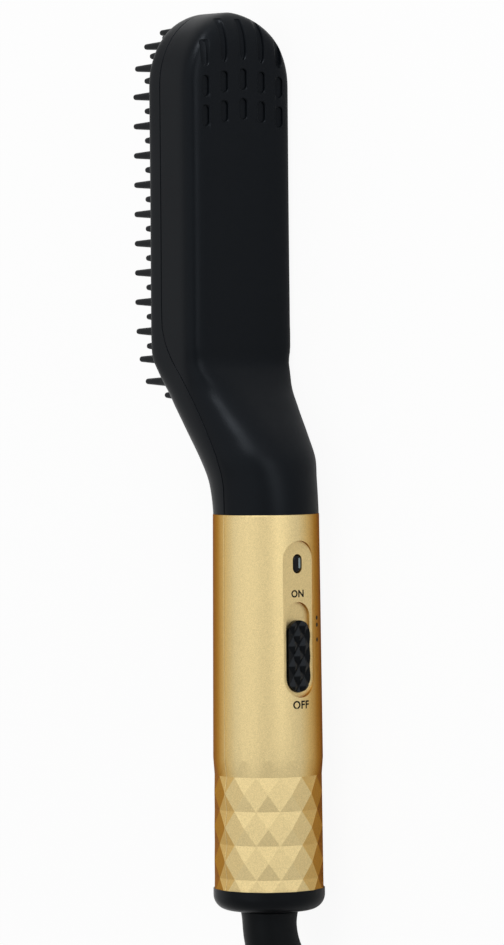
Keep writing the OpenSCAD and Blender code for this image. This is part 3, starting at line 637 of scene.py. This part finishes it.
def pinBm(r, t, f, low=-10, high=10):
    # round post or hole through the front at height t
    return latheBm([(0, low), (r, low), (r, high), (0, high)], towardsFront(0, f, t), steps=32)


def makeGuard():
    plate = slabBm(openingOutline(0.15), 25.1, 27.0, bevel=0.3)
    cutters = [boxBm((-10, 10), (20, 40), (t - 0.5, t + fins["thick"] + 0.5)) for t in finHeights]
    cutters += [pinBm(1.6, rowHeights[i], f=25) for i in screwRows]
    parts = [cutMesh(plate, [joinBm(cutters)])]
    half, first, pitch, last = tooth["half"], tooth["first"], tooth["pitch"], tooth["count"] - 1
    spots = [(0, tooth["top"], tooth["shortTip"])]
    for side in (-1, 1):
        for i in range(tooth["count"]):
            t = first - i * pitch
            spots.append((side * half, t, tooth["longTip"] - (0.4 if i == last else 0)))
            spots.append((side * half, t - pitch / 2, tooth["shortTip"]))
        spots += [(side * half * cos(a), tooth["top"] - tooth["arch"] * (1 - sin(a)), tip)
                  for angles, tip in archTeeth for a in map(radians, angles)]
        spots.append((side * (half - 1), first - (last + 0.95) * pitch, tooth["longTip"] - 0.3))
    for i, t in enumerate(rowHeights):
        spots += [(x, t, tooth["shortTip"] - 1.4) for x in ((-7, 7) if i in screwRows else (-7, -2.4, 2.4, 7))]
    parts += [toothBm(x, t, tooth["base"], tip) for x, t, tip in spots]
    finishMesh("combGuard", joinBm(parts), guardPlastic, slot="guard_plastic", replaces=["comb_guard"], angle=35)


def finBm(t):
    # blade with square notches cut down from its edge
    half, notch = fins["width"] / 2, fins["width"] / 9
    outline = [(-half, fins["front"] - 0.2), (half, fins["front"] - 0.2)]
    for k in range(9):
        level = fins["notch"] if k % 2 else fins["tip"]
        outline += [(half - k * notch, level), (half - (k + 1) * notch, level)]
    bm = bmesh.new()
    face = bm.faces.new([bm.verts.new(row(px, f, t)) for px, f in uniquePoints(outline)])
    made = bmesh.ops.extrude_face_region(bm, geom=[face])
    shift = row(0, 0, fins["thick"]) - row(0, 0, 0)
    bmesh.ops.translate(bm, vec=shift, verts=onlyVerts(made["geom"]))
    bmesh.ops.recalc_face_normals(bm, faces=bm.faces)
    bevelEdges(bm, bm.edges[:], 0.3)
    return bm


coatedMetal = metal("ceramic-coated aluminium, satin", "#8B8783", 0.38, grain=1.5)


def makeHeatingPlate():
    plate = boxBm((-10.6, 10.6), (fins["back"], fins["front"]), (fins["first"] - 3, 218.5), bevel=0.3)
    parts = [cutMesh(plate, [pinBm(1.4, rowHeights[i], f=21) for i in screwRows])] + [finBm(t) for t in finHeights]
    finishMesh("heatingPlate", joinBm(parts), coatedMetal, slot="coated_aluminium", replaces=["heating_plate"])


makeGuard()
makeHeatingPlate()
print("stage: comb")

# faceted handle
facet = {"columns": 14, "pitch": 8.7, "top": 34.7, "rows": 5, "topPoints": 16}
panel = {"width": 9.6, "low": 54.9, "high": 94.8, "floor": 12.7, "inner": 10.4}
track = {"width": 7.6, "low": 56.1, "length": 23.1, "floor": 11.75}
window = {"mid": 88.9, "width": 2.9, "length": 4.9}
knob = {"width": 6.9, "low": 56.25, "length": 18.3, "mid": 65.45, "face": 13.75, "relief": 0.7, "pitch": 5.13,
        "travel": 4.4, "stemWidth": 3.0, "stemLength": 6.0, "stemRoom": 0.2}
pad = {"width": 14.8, "past": 3, "coreLow": 50, "coreHigh": 98, "skin": 0.5}
posts = {"heights": (24, 50), "r": 3.6, "hole": 1.1, "head": 2.6, "seat": 8.6}


def handlePoint(angle, radius, t):
    # angle goes round from the middle of the switch side
    return row(radius * sin(angle), -radius * cos(angle), t)


def handleSolidBm(rings=14):
    # worked flat as (column, height, share of the radius), then wrapped: a poked net gives the flat upright diamonds
    n, top = facet["columns"], facet["top"]
    step = 2 * pi / n
    tall, clear = (facet["rows"] - 1) * facet["pitch"], top + facet["pitch"] / 2
    bm = bmesh.new()
    bmesh.ops.create_grid(bm, x_segments=n, y_segments=facet["rows"] - 1, size=0.5)
    bmesh.ops.scale(bm, vec=(n, tall, 1), verts=bm.verts)
    bmesh.ops.translate(bm, vec=(n / 2, top - tall / 2, cos(step / 2)), verts=bm.verts)
    for v in bmesh.ops.poke(bm, faces=bm.faces)["verts"]:
        v.co.z = 1

    def lineAt(height):
        return edgesOn(bm, 1, height, slack=1e-3)

    def raiseLine(fromHeight, toHeight):
        for v in onlyVerts(bmesh.ops.extrude_edge_only(bm, edges=lineAt(fromHeight))["geom"]):
            v.co.y, v.co.z = toHeight, 1

    # the round grip starts from a finer ring, joined to the top row by fans
    raiseLine(top, clear)
    bmesh.ops.subdivide_edges(bm, edges=lineAt(clear), cuts=facet["topPoints"] - 1)
    corners = {v for e in lineAt(top) for v in e.verts}
    middles = {v for e in lineAt(clear) for v in e.verts if abs(v.co.x % 1 - 0.5) < 1e-3}
    bmesh.ops.connect_verts(bm, verts=list(corners | middles))
    bmesh.ops.triangulate(bm, faces=[f for f in bm.faces if len(f.verts) > 4])
    heights = [clear + (tool["joint"] - clear) * i / rings for i in range(rings + 1)]
    for fromHeight, toHeight in zip(heights, heights[1:]):
        raiseLine(fromHeight, toHeight)
    for v in bm.verts:
        column, t, share = v.co
        v.co = handlePoint(column * step, handleRadius(t) * share, t)
    bmesh.ops.remove_doubles(bm, verts=bm.verts, dist=1e-6)
    bmesh.ops.holes_fill(bm, edges=[e for e in bm.edges if e.is_boundary], sides=0)
    bmesh.ops.recalc_face_normals(bm, faces=bm.faces)
    below = bmesh.ops.bisect_plane(bm, geom=bm.verts[:] + bm.edges[:] + bm.faces[:], dist=1e-7,
                                   plane_co=row(0, 0, tool["capHeight"]), plane_no=(1, 0, 0), clear_inner=True)
    bmesh.ops.holes_fill(bm, edges=[g for g in below["geom_cut"] if isinstance(g, bmesh.types.BMEdge)])
    return bm


def handleHalf(front):
    # the two mouldings stop a little short of the parting line and their edges are rounded there
    gap = 0.03
    away = boxBm((-30, 30), (-40, gap) if front else (-gap, 40), (-20, 130))
    span = tool["joint"] - tool["capHeight"] + 1
    bore = latheBm([(0, -1), (tool["gripR"] - tool["wall"], -1), (tool["neckR"] - tool["wall"], span), (0, span)],
                   alongTool(tool["capHeight"]), steps=96)
    bm = cutMesh(handleSolidBm(), [bore, away])
    # the upper edge is eased where it meets the head
    end, neckR = row(0, 0, tool["joint"]), tool["neckR"] / 1000
    bevelEdges(bm, [e for e in edgesOn(bm, 0, end.x, slack=1e-6)
                    if all((v.co - end).length > neckR - 0.0001 for v in e.verts)], 0.2)
    level = row(0, gap if front else -gap, 0).y
    bevelEdges(bm, [e for e in edgesOn(bm, 1, level, slack=1e-6)
                    if len(e.link_faces) == 2 and abs(e.verts[0].co.z - end.z) > neckR - 0.0012], 0.12)
    return bm


def makeHandleBack():
    # a pad thickens the wall behind the panel
    half, past, low, high, room = pad["width"] / 2, pad["past"], pad["coreLow"], pad["coreHigh"], knob["stemRoom"]
    block = boxBm((-half, half), (-20, -panel["inner"]), (panel["low"] - past, panel["high"] + past))
    core = latheBm([(0, 0), (handleRadius(low) - pad["skin"], 0), (handleRadius(high) - pad["skin"], high - low),
                    (0, high - low)], alongTool(low), steps=96)
    bm = cutMesh(handleHalf(False), [cutMesh(block, [core], "INTERSECT")], "UNION")
    stemHalf = knob["stemLength"] / 2 + room
    bm = cutMesh(bm, [pillBm(width, low, high, -20, -depth) for width, low, high, depth in (
        (panel["width"], panel["low"], panel["high"], panel["floor"]),
        (track["width"], track["low"], track["low"] + track["length"], track["floor"]),
        (knob["stemWidth"] + 2 * room, knob["mid"] - stemHalf, knob["mid"] + stemHalf + knob["travel"], 5),
        (window["width"], window["mid"] - window["length"] / 2, window["mid"] + window["length"] / 2, 5),
    )])
    finishMesh("handleBackShell", bm, goldPaint, slot="gold_paint", replaces=["handle_back_shell"], angle=7)


def makeHandleFront():
    bm = cutMesh(handleHalf(True), [pinBm(posts["r"], t, f=0.2, low=0, high=12.6) for t in posts["heights"]], "UNION")
    hole, seat = posts["hole"], posts["seat"]
    bm = cutMesh(bm, [latheBm([(0, 0), (hole, 0), (hole, seat), (posts["head"], seat), (posts["head"], 20), (0, 20)],
                              towardsFront(0, -1, t), steps=32) for t in posts["heights"]])
    finishMesh("handleFrontShell", bm, goldPaint, slot="gold_paint", replaces=["handle_front_shell"], angle=7)


cap = {"edge": 3.9, "holeR": 5.95, "rimR": 12.1, "rimTop": 8.9, "roomR": 9.0, "floor": 2.6}


def makeEndCap():
    r, h, edge, hole = tool["gripR"], tool["capHeight"], cap["edge"], cap["holeR"]
    profile = [(hole, 0.25), (hole + 0.25, 0)] + arcPoints(edge, range(-90, 1, 6), r - edge, edge)
    profile += [(r, h - 0.12), (r - 0.12, h), (cap["rimR"], h), (cap["rimR"], cap["rimTop"]),
                (cap["roomR"], cap["rimTop"]), (cap["roomR"], cap["floor"]), (hole, cap["floor"]), (hole, 0.25)]
    finishMesh("endCap", latheBm(profile, alongTool(0), steps=128), capPlastic, slot="cap_plastic",
               replaces=["end_cap"], angle=35)


def reliefBm(back, columns=6, rows=10):
    # block whose face is a net of pyramids, each as wide as two columns of the grid and as long as two rows
    width, length = knob["width"] * 1.5, knob["pitch"] * rows / 2
    bm = bmesh.new()
    bmesh.ops.create_grid(bm, x_segments=columns, y_segments=rows, size=0.5)
    low = []
    for v in bm.verts:
        i, j = round(v.co.x * columns), round(v.co.y * rows)
        valley = (i + j) % 2
        if valley:
            low.append(v)
        lowered = valley or 0.5 * (abs(i) > 1)  # the outer peaks are lower, so the rim stays even
        v.co = row(i * width / columns, knob["relief"] * lowered - knob["face"] - 0.05,
                   knob["mid"] + j * length / rows)
    bmesh.ops.connect_verts(bm, verts=low)
    for v in onlyVerts(bmesh.ops.extrude_face_region(bm, geom=bm.faces[:])["geom"]):
        v.co.y = row(0, back, 0).y
    return bm


def makeKnob():
    back = -track["floor"] - 0.35
    body = pillBm(knob["width"], knob["low"], knob["low"] + knob["length"], -knob["face"], back, steps=28)
    bevelEdges(body, edgesOn(body, 1, row(0, -knob["face"], 0).y), 0.4, segments=4)
    body = cutMesh(body, [reliefBm(back + 0.1)], "INTERSECT")
    wide, long_, mid = knob["stemWidth"] / 2, knob["stemLength"] / 2, knob["mid"]
    stem = boxBm((-wide, wide), (-track["floor"] - 0.6, -10.05), (mid - long_, mid + long_))
    finishMesh("switchKnob", joinBm([body, stem]), knobPlastic, body="switch", slot="knob_plastic",
               replaces=["switch_knob"], angle=18)


makeHandleBack()
makeHandleFront()
makeEndCap()
makeKnob()
print("stage: handle")


# swivel, boot and cord
boot = {"rootR": 7.4, "taper": 0.45, "tipR": 4.0, "bend": 21.0, "reach": 44.0, "gap": 0.4, "leadIn": 2.5,
        "plain": 11.0, "pitch": 3.3, "depth": 0.9, "spigotR": 4.65}
# one rib's groove with rounded edges: (distance along the boot, share of the depth)
groove = ((0.0, 0), (0.15, 0.06), (0.32, 0.35), (0.48, 0.8), (0.65, 1), (1.15, 1), (1.32, 0.8), (1.48, 0.35),
          (1.65, 0.06), (1.8, 0), (2.55, 0))
boot["start"] = boot["gap"] + boot["leadIn"]
boot["drop"] = halfWidth - boot["tipR"] - 1.1
boot["angle"] = acos(1 - boot["drop"] / (2 * boot["bend"]))
boot["arc"] = boot["bend"] * boot["angle"]
boot["arcsReach"] = 2 * boot["bend"] * sin(boot["angle"])
boot["path"] = 2 * boot["arc"] + boot["reach"] - boot["start"] - boot["arcsReach"]
boot["ribs"] = floor((boot["path"] - boot["plain"] - 3) / boot["pitch"])
cord = {"d": 5.5, "leadReach": 30.0, "hankLength": 95.0, "endR": 22.0, "turns": 8}
cord["hankLow"] = -boot["reach"] - cord["leadReach"]
cord["hankEnd"] = cord["hankLow"] - cord["hankLength"]
cord["tieT"] = (cord["hankLow"] + cord["hankEnd"]) / 2


def bootAxis(s):
    # point and direction of the boot's centreline, s along it: a straight, two opposite arcs and a straight
    bend, arc, top = boot["bend"], boot["arc"], -boot["start"]
    low = top - boot["arcsReach"]
    if s < 0:
        return 0.0, top - s, 0.0
    if s < arc:
        a = s / bend
        return bend * (1 - cos(a)), top - bend * sin(a), a
    if s < 2 * arc:
        a = (2 * arc - s) / bend
        return boot["drop"] - bend * (1 - cos(a)), low + bend * sin(a), a
    return boot["drop"], low - (s - 2 * arc), 0.0


def bootRadius(s):
    if s < boot["plain"]:
        u = min(1.0, (s + boot["leadIn"]) / 4)
        return boot["rootR"] - boot["taper"] * u * (2 - u)
    root = boot["rootR"] - boot["taper"]
    return root - (root - boot["tipR"]) * (s - boot["plain"]) / (boot["path"] - boot["plain"])


def makeBoot(steps=64):
    stations = [(ds - boot["leadIn"], inset) for ds, inset in ((0, 0.3), (0.1, 0.1), (0.3, 0), (0.9, 0), (1.7, 0))]
    stations += [(-0.3, 0), (0.6, 0)]
    stations += [(boot["plain"] * u, 0) for u in (0.15, 0.3, 0.45, 0.6, 0.75, 0.9, 0.97)]
    stations += [(boot["plain"] + i * boot["pitch"] + ds, share * boot["depth"])
                 for i in range(boot["ribs"]) for ds, share in groove]
    last = boot["path"]
    stations += [(last - 1.2, 0), (last - 0.6, 0.05), (last - 0.3, 0.2), (last - 0.1, 0.45), (last, 0.9)]
    rings = []
    for s, inset in sorted(stations):
        x, t, a = bootAxis(s)
        r = bootRadius(s) - inset
        turns = [2 * pi * k / steps for k in range(steps)]
        rings.append([row(x + r * cos(w) * cos(a), r * sin(w), t + r * cos(w) * sin(a))
                      for w in turns])
    body = ringMesh(rings)
    spigot = latheBm([(0, -1), (boot["spigotR"], -1), (boot["spigotR"], 4.8), (2, 4.8), (2, 1), (0, 1)], alongTool(0),
                     steps=48)
    finishMesh("cordBoot", joinBm([body, spigot]), cordRubber, body="swivel", slot="cord_rubber",
               replaces=["cord_boot"], angle=50)


def loopPoint(share, offset):
    # one turn of the hank, a figure with a narrow waist: share 0 to 1 round it from the waist, offset outwards
    r = cord["endR"] - cord["d"]
    a = cord["hankLength"] / 2 - cord["endR"]
    waist = cord["d"] + 0.05
    rho = (a * a / (r - waist) - r - waist) / 2
    phi = atan2(a, waist + rho)
    lengths = 2 * [rho * phi, 2 * r * (pi / 2 + phi), rho * phi]
    s = (share % 1) * sum(lengths)
    part = 0
    while part < 5 and s > lengths[part]:
        s -= lengths[part]
        part += 1
    # y grows on the first side, x runs towards the tool; the second half is the first turned by half a turn
    flip = 1 if part < 3 else -1
    part %= 3
    if part == 0:
        w = s / rho
        p = (waist + rho - (rho - offset) * cos(w), (rho - offset) * sin(w))
    elif part == 1:
        w = -phi + s / r
        p = ((r + offset) * cos(w), a + (r + offset) * sin(w))
    else:
        w = phi - s / rho
        p = (-(waist + rho) + (rho - offset) * cos(w), (rho - offset) * sin(w))
    return flip * p[0], flip * p[1]


def between(a, b, wayA, wayB, count):
    # cubic curve from a to b that leaves along wayA and arrives along wayB, both in millimetres
    return [a * (1 - u) ** 3 + (a + wayA) * 3 * u * (1 - u) ** 2 + (b - wayB) * 3 * u * u * (1 - u) + b * u**3
            for u in (i / count for i in range(count))]


def easeIn(share):
    u = clamp(share)
    return u * u * (3 - 2 * u)


def cordCentreline():
    # points (along the tool, across the row, up from the floor) in millimetres, from the boot's tip to the plug
    d = cord["d"] + 0.05
    # each turn changes its slot by (levels, sides), in its own stretch before the lead comes in, so that none cross
    changes = [(0, -2, -0.16, -0.04), (1, 0, -0.3, -0.16), (1, 0, -0.3, -0.16), (1, 0, -0.3, -0.16),
               (0, 2, -0.44, -0.3), (-1, 0, -0.58, -0.44), (-1, 0, -0.58, -0.44)]
    startShare, stopShare = 0.39, 0.622 + cord["turns"] - 1

    def turnPoint(share):
        level, side = 0, 1
        for k, (levels, sides, lo, hi) in enumerate(changes, start=1):
            u = easeIn((share - startShare - k - lo) / (hi - lo))
            level += levels * u
            side += sides * u
        y, x = loopPoint(share, side * d / 2)
        z = cord["d"] / 2 + 0.02 + level * d + 0.85 * easeIn((13 - abs(x)) / 8)
        return Vector((cord["tieT"] + x, y, z))

    steps = 110 * cord["turns"]
    hank = [turnPoint(startShare + (stopShare - startShare) * i / steps) for i in range(steps + 1)]
    start = Vector((-boot["reach"] + 0.6, -midY, halfWidth - boot["drop"]))
    wayIn = (hank[1] - hank[0]).normalized()
    lead = between(start, hank[0], Vector((-15, 0, 0)), wayIn * 13, 34)
    stop = Vector((plug["rear"] - 0.6, plug["f"] - midY, plug["height"] / 2))
    wayOut = (hank[-1] - hank[-2]).normalized()
    tail = between(hank[-1], stop, wayOut * 9, Vector((-6, 0, 0)), 26)
    return lead + hank[:-1] + tail + [stop]


plug = {"rear": cord["hankEnd"] - 7, "length": 36.0, "width": 35.0, "height": 13.7, "f": 35 / 2 - 14.3 + 0.4,
        "pinR": 2.0, "pinLength": 19.0, "spacing": 18.6, "ribs": 5, "ribsFrom": 25.2, "ribPitch": 2.1}
plug["face"] = plug["rear"] - plug["length"]


def floorPoint(p):
    return Vector(((p[0] - tool["length"] / 2) / 1000, p[1] / 1000, p[2] / 1000))


def makeCord(sides=20):
    line = [floorPoint(p) for p in cordCentreline()]
    rings = []
    up = Vector((0, 0, 1))
    for i, p in enumerate(line):
        way = (line[min(i + 1, len(line) - 1)] - line[max(i - 1, 0)]).normalized()
        across = way.cross(up).normalized()
        rise = across.cross(way)
        r = cord["d"] / 2000
        rings.append([p + across * r * cos(w) + rise * r * sin(w)
                      for w in (2 * pi * k / sides for k in range(sides))])
    obj = finishMesh("powerCord", ringMesh(rings), cordRubber, body=None, slot="cord_rubber",
                     replaces=["cord_lead", "cord_hank", "cord_tail"], angle=60)
    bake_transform(obj)
    length = sum((b - a).length for a, b in zip(line, line[1:]))
    print("cord length", round(length, 4))
    list(line[0])
    [list(p) for p in line]


def roundedBox(halfWide, halfHigh, power, steps):
    # points round a box with full corners: the lower the power, the squarer
    turns = [(cos(a), sin(a)) for a in (2 * pi * k / steps for k in range(steps))]
    return [(halfWide * copysign(abs(c) ** power, c), halfHigh * copysign(abs(q) ** power, q))
            for c, q in turns]


tie = {"width": 9.0, "thick": 0.8, "round": 0.25}


def makeTie():
    wide, high, thick = 2 * cord["d"] + 0.3, 2 * cord["d"] + 0.175, tie["thick"]
    outside, inside = [], []
    for u in (-1, -0.93, 0.93, 1):
        inset = tie["round"] if abs(u) == 1 else 0.0
        for grow, loops in ((thick - inset, outside), (inset, inside)):
            loops.append([floorPoint((cord["tieT"] + u * tie["width"] / 2, y, max(thick + 0.02 + high + z, 0.01)))
                          for y, z in roundedBox(wide + grow, high + grow, 0.3, 48)])
    # up the outside, back down the inside and onto the first loop again
    bm = ringMesh(outside + inside[::-1] + outside[:1], capEnds=False)
    bmesh.ops.remove_doubles(bm, verts=bm.verts, dist=1e-7)
    finishMesh("cordTie", bm, tiePlastic, slot="tie_plastic", replaces=["cord_tie"], angle=40)


def makePlug():
    # moulded two-pin plug, narrowing to its cord grip, with cross ribs on the grip: (height, width, depth, inset)
    stations = [(0, 0.95, 0.9, 0), (0.35, 0.978, 0.955, 0), (1.2, 1, 1, 0), (5, 0.995, 1, 0), (9, 0.985, 1, 0),
                (12.5, 0.94, 0.995, 0), (16, 0.86, 0.98, 0), (20, 0.72, 0.945, 0), (24, 0.56, 0.89, 0)]
    rings = []
    for i in range(plug["ribs"]):
        base = plug["ribsFrom"] + i * plug["ribPitch"]
        for dt, inset in ((0, 0), (0.25, 0.25), (0.45, 0.75), (0.9, 0.75), (1.1, 0.25), (1.35, 0)):
            at = base + dt
            u = (at - 24) / 12
            stations.append((at, 0.56 - 0.32 * min(1, u * 1.5) ** 0.7, 0.89 - 0.33 * u, inset))
    stations += [(35.6, 0.235, 0.56, 0), (36, 0.215, 0.52, 0)]
    for t, w, h, inset in stations:
        halfWide, halfHigh = plug["width"] / 2 * w - inset, plug["height"] / 2 * h - inset
        rings.append([floorPoint((plug["face"] + t, plug["f"] - midY + y, plug["height"] / 2 + z))
                      for z, y in roundedBox(halfHigh, halfWide, 0.5, 60)])
    finishMesh("plugBody", ringMesh(rings), cordRubber, slot="cord_rubber", replaces=["plug_body"], angle=40)


def makePins():
    # solid pins with an insulating sleeve over the half next to the plug
    for name, side in (("plugPinNear", -1), ("plugPinFar", 1)):
        r, long_ = plug["pinR"], plug["pinLength"]
        f = plug["f"] + side * plug["spacing"] / 2
        start = floorPoint((plug["face"], f - midY, plug["height"] / 2))
        profile = [(0, -0.2), (r - 0.02, -0.2), (r - 0.02, 10), (r - 0.2, 10.05), (r - 0.2, 10.3), (r, 10.5),
                   (r, long_ - 1.6)]
        profile += arcPoints(1.5, (0, 20, 40, 60, 80, 90), r - 1.5, long_ - 1.5) + [(0, long_)]
        bm = latheBm(profile, Matrix.Translation(start) @ Matrix.Rotation(-pi / 2, 4, "Y"), steps=40)
        for face in bm.faces:
            face.material_index = 0 if face.calc_center_median().x - start.x > -0.01002 else 1
        finishMesh(name, bm, [capPlastic, nickel], slot="pin_steel", replaces=["plug_pins"] if side < 0 else (),
                   angle=35)


tiePlastic = plastic("soft black vinyl strap, matt", "#1A1B1C", 0.6, grain=3, depth=0.01)
nickel = metal("nickel-plated brass, polished", "#CFC9BE", 0.18)
makeBoot()
makePlug()
makePins()
makeTie()
makeCord()
print("stage: cord")


# window, lettering and marks on the switch side
lensPlastic = clearPlastic("smoked acrylic, polished", "#0C0C10", 0.1, 0.05)
# painted highlight: the pale colour of the strip in the window
windowHighlightPaint = plain("pale paint for the window's painted highlight", "#6E7A7C", 0.25)
printInk = plain("black pad-printing ink", "#1C1810", 0.5, specular=0.1)


def makeLens():
    half = window["length"] / 2 - 0.05
    bm = pillBm(window["width"] - 0.1, window["mid"] - half, window["mid"] + half, -panel["floor"] + 0.02,
                -panel["inner"])
    bevelEdges(bm, edgesOn(bm, 1, row(0, -panel["floor"] + 0.02, 0).y), 0.9, segments=7)
    finishMesh("indicatorLens", bm, lensPlastic, slot="lens", replaces=["indicator_lens"], angle=35)
    # painted highlight: a pale strip at one side of the window stands in for the light caught inside it
    highlightStrip = pillBm(0.6, window["mid"] - 1.2, window["mid"] + 1.5, -panel["floor"] - 0.01, -panel["floor"] + 1.5, x=0.7)
    finishMesh("windowPaintedHighlight", highlightStrip, windowHighlightPaint, slot="lens", angle=35)


def makeWord(name, text, mid, high, curved=False):
    # printed word that reads with the tool's head upwards, a hair above the flat panel or the round handle
    curve = bpy.data.curves.new(name, "FONT")
    curve.body = text
    curve.align_x = "CENTER"
    curve.align_y = "CENTER"
    curve.size = high / 0.72 / 1000
    curve.extrude = 0.00001
    curve.space_character = 1.08
    curve.offset = 0.00008
    temp = addObject("temp", curve)
    bpy.context.view_layer.update()
    mesh = bpy.data.meshes.new_from_object(temp.evaluated_get(bpy.context.evaluated_depsgraph_get()))
    bpy.data.objects.remove(temp)
    xs = [v.co.x for v in mesh.vertices]
    ys = [v.co.y for v in mesh.vertices]
    centre = Vector(((min(xs) + max(xs)) / 2, (min(ys) + max(ys)) / 2, 0))
    turn = Matrix(((0, 1, 0), (0, 0, -1), (-1, 0, 0))).to_4x4()
    mesh.transform(Matrix.Translation(row(0, -panel["floor"] - 0.012, mid)) @ turn @ Matrix.Translation(-centre))
    if curved:
        for v in mesh.vertices:
            x = (halfWidth / 1000 - v.co.z) * 1000
            v.co.y += row(0, -sqrt(handleRadius(mid) ** 2 - x * x), mid).y - row(0, -panel["floor"], mid).y
    placeMesh(name, mesh, printInk, slot="lens", angle=None)


pips = {"heights": (74.9, 73.1, 69.3), "angle": radians(29), "r": 0.56}


def makePips():
    # small printed dots beside the track
    parts = []
    a = pips["angle"]
    axis = Vector((0, -cos(a), -sin(a)))
    for t in pips["heights"]:
        p = handlePoint(a, handleRadius(t), t)
        place = Matrix.Translation(p - axis * 0.00001) @ axis.to_track_quat("Z", "Y").to_matrix().to_4x4()
        parts.append(latheBm([(0, 0), (pips["r"], 0), (pips["r"], 0.025), (pips["r"] - 0.04, 0.03), (0, 0.035)],
                             place, steps=20))
    finishMesh("pips", joinBm(parts), printInk, slot="lens")


makeLens()
makeWord("wordOn", "ON", 81.3, 1.8)
makeWord("wordOff", "OFF", 53.1, 2.0, curved=True)
makePips()

# finishes of the pieces inside
inner = {
    "heater_element": plain("fired alumina ceramic", "#E4E2DA", 0.7),
    "insulation_film": plain("polyimide film", "#B8792C", 0.2),
    "heater_clamp": metal("rolled spring steel", "#B9BBBD", 0.3, grain=6, stretch=(0.05, 1, 1)),
    "plate_screws": metal("zinc-plated steel, turned", "#C4C6C8", 0.25),
    "thermal_fuse": plain("ceramic-cased fuse", "#D8D2C4", 0.5),
    "thermostat": plain("moulded phenolic", "#2A2C2E", 0.45),
    "neck_wires": plain("red silicone insulation, extruded", "#B23A30", 0.45),
    "handle_screws": metal("zinc-plated steel screws, turned", "#C4C6C8", 0.25),
    "circuit_board": plain("glass-epoxy board with green solder mask", "#2F6B45", 0.4),
    "slide_switch": metal("stamped steel switch case", "#B9BBBD", 0.28),
    "control_chip": plain("black epoxy package", "#1E2022", 0.5),
    "indicator_led": clearPlastic("clear epoxy lens", "#E6EEF0", 0.05, 0.9),
    "switch_carrier": metal("stamped brass", "#C8A45A", 0.3),
    "supply_wires": plain("blue vinyl insulation, extruded", "#2B5A9C", 0.4),
    "swivel_hub": metal("turned brass", "#C8A45A", 0.25),
}
for name, mat in inner.items():
    dress(nodes[name].data, mat)
print("stage: small parts")


# floor, lights and background
studio = {"background": "#FAFAFA", "floor": "#DADADA", "shadowShare": 0.045, "glow": 1.02, "world": 0.62}


def backgroundMix(tree, near, far):
    # far is what the camera sees, also through the clear plastic, near is what lights the object
    path = addNode(tree, "LightPath")
    seen = addNode(tree, "Math", {0: path.outputs["Is Camera Ray"], 1: path.outputs["Is Transmission Ray"]},
                   operation="MAXIMUM")
    return addNode(tree, "MixShader", {0: seen, 1: near, 2: far})


def makeFloor():
    mat, tree, shader = newMaterial("matt white paper sweep", studio["floor"],
                                    {"Roughness": 0.95, "Specular IOR Level": 0.1})[:3]
    glow = addNode(tree, "Emission", {"Color": srgb(studio["background"]), "Strength": studio["glow"]})
    paper = addNode(tree, "BsdfDiffuse", {"Color": srgb("#FFFFFF")})
    pale = addNode(tree, "MixShader", {0: studio["shadowShare"], 1: glow, 2: paper})
    both = backgroundMix(tree, shader, pale)
    output = [n for n in tree.nodes if n.type == "OUTPUT_MATERIAL"][0]
    tree.links.new(both.outputs[0], output.inputs["Surface"])
    bm = bmesh.new()
    bmesh.ops.create_grid(bm, x_segments=1, y_segments=1, size=3)
    bmesh.ops.translate(bm, vec=(0, 0, -0.0002), verts=bm.verts)
    finishMesh("studioFloor", bm, mat, body=None, angle=None)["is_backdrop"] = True


def makeLight(name, place, size, power):
    data = bpy.data.lights.new(name, "AREA")
    data.energy = power
    data.shape = "RECTANGLE"
    data.size, data.size_y = size
    obj = addObject(name, data)
    obj.location = place
    obj.rotation_euler = (Vector((0, 0, 0.01)) - Vector(place)).to_track_quat("-Z", "Y").to_euler()


def makeWorld():
    world = bpy.data.worlds.new("studio")
    bpy.context.scene.world = world
    world.use_nodes = True
    tree = world.node_tree
    tree.nodes.clear()
    path = addNode(tree, "LightPath")
    soft = addNode(tree, "Background", {"Color": srgb("#FFFFFF"), "Strength": studio["world"]})
    seen = addNode(tree, "Background", {"Color": srgb(studio["background"]), "Strength": 1.0})
    mix = addNode(tree, "MixShader", {0: path.outputs["Is Camera Ray"], 1: soft, 2: seen})
    addNode(tree, "OutputWorld", {"Surface": mix})


makeFloor()
makeWorld()
for name, place, size, power in (
    ("overheadSoftbox", (0.15, -0.1, 0.95), (1.3, 1.0), 2.3),
    ("lowSoftbox", (0.4, -1.0, 0.2), (0.9, 0.42), 3.0),
    ("backFill", (0, 0.9, 0.6), (0.9, 0.6), 0.5),
    ("headSideSoftbox", (0.95, -0.28, 0.5), (0.45, 0.45), 8),
):
    makeLight(name, place, size, power)
print("stage: studio")

saveBounds({"cad": cadBounds, "end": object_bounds()})
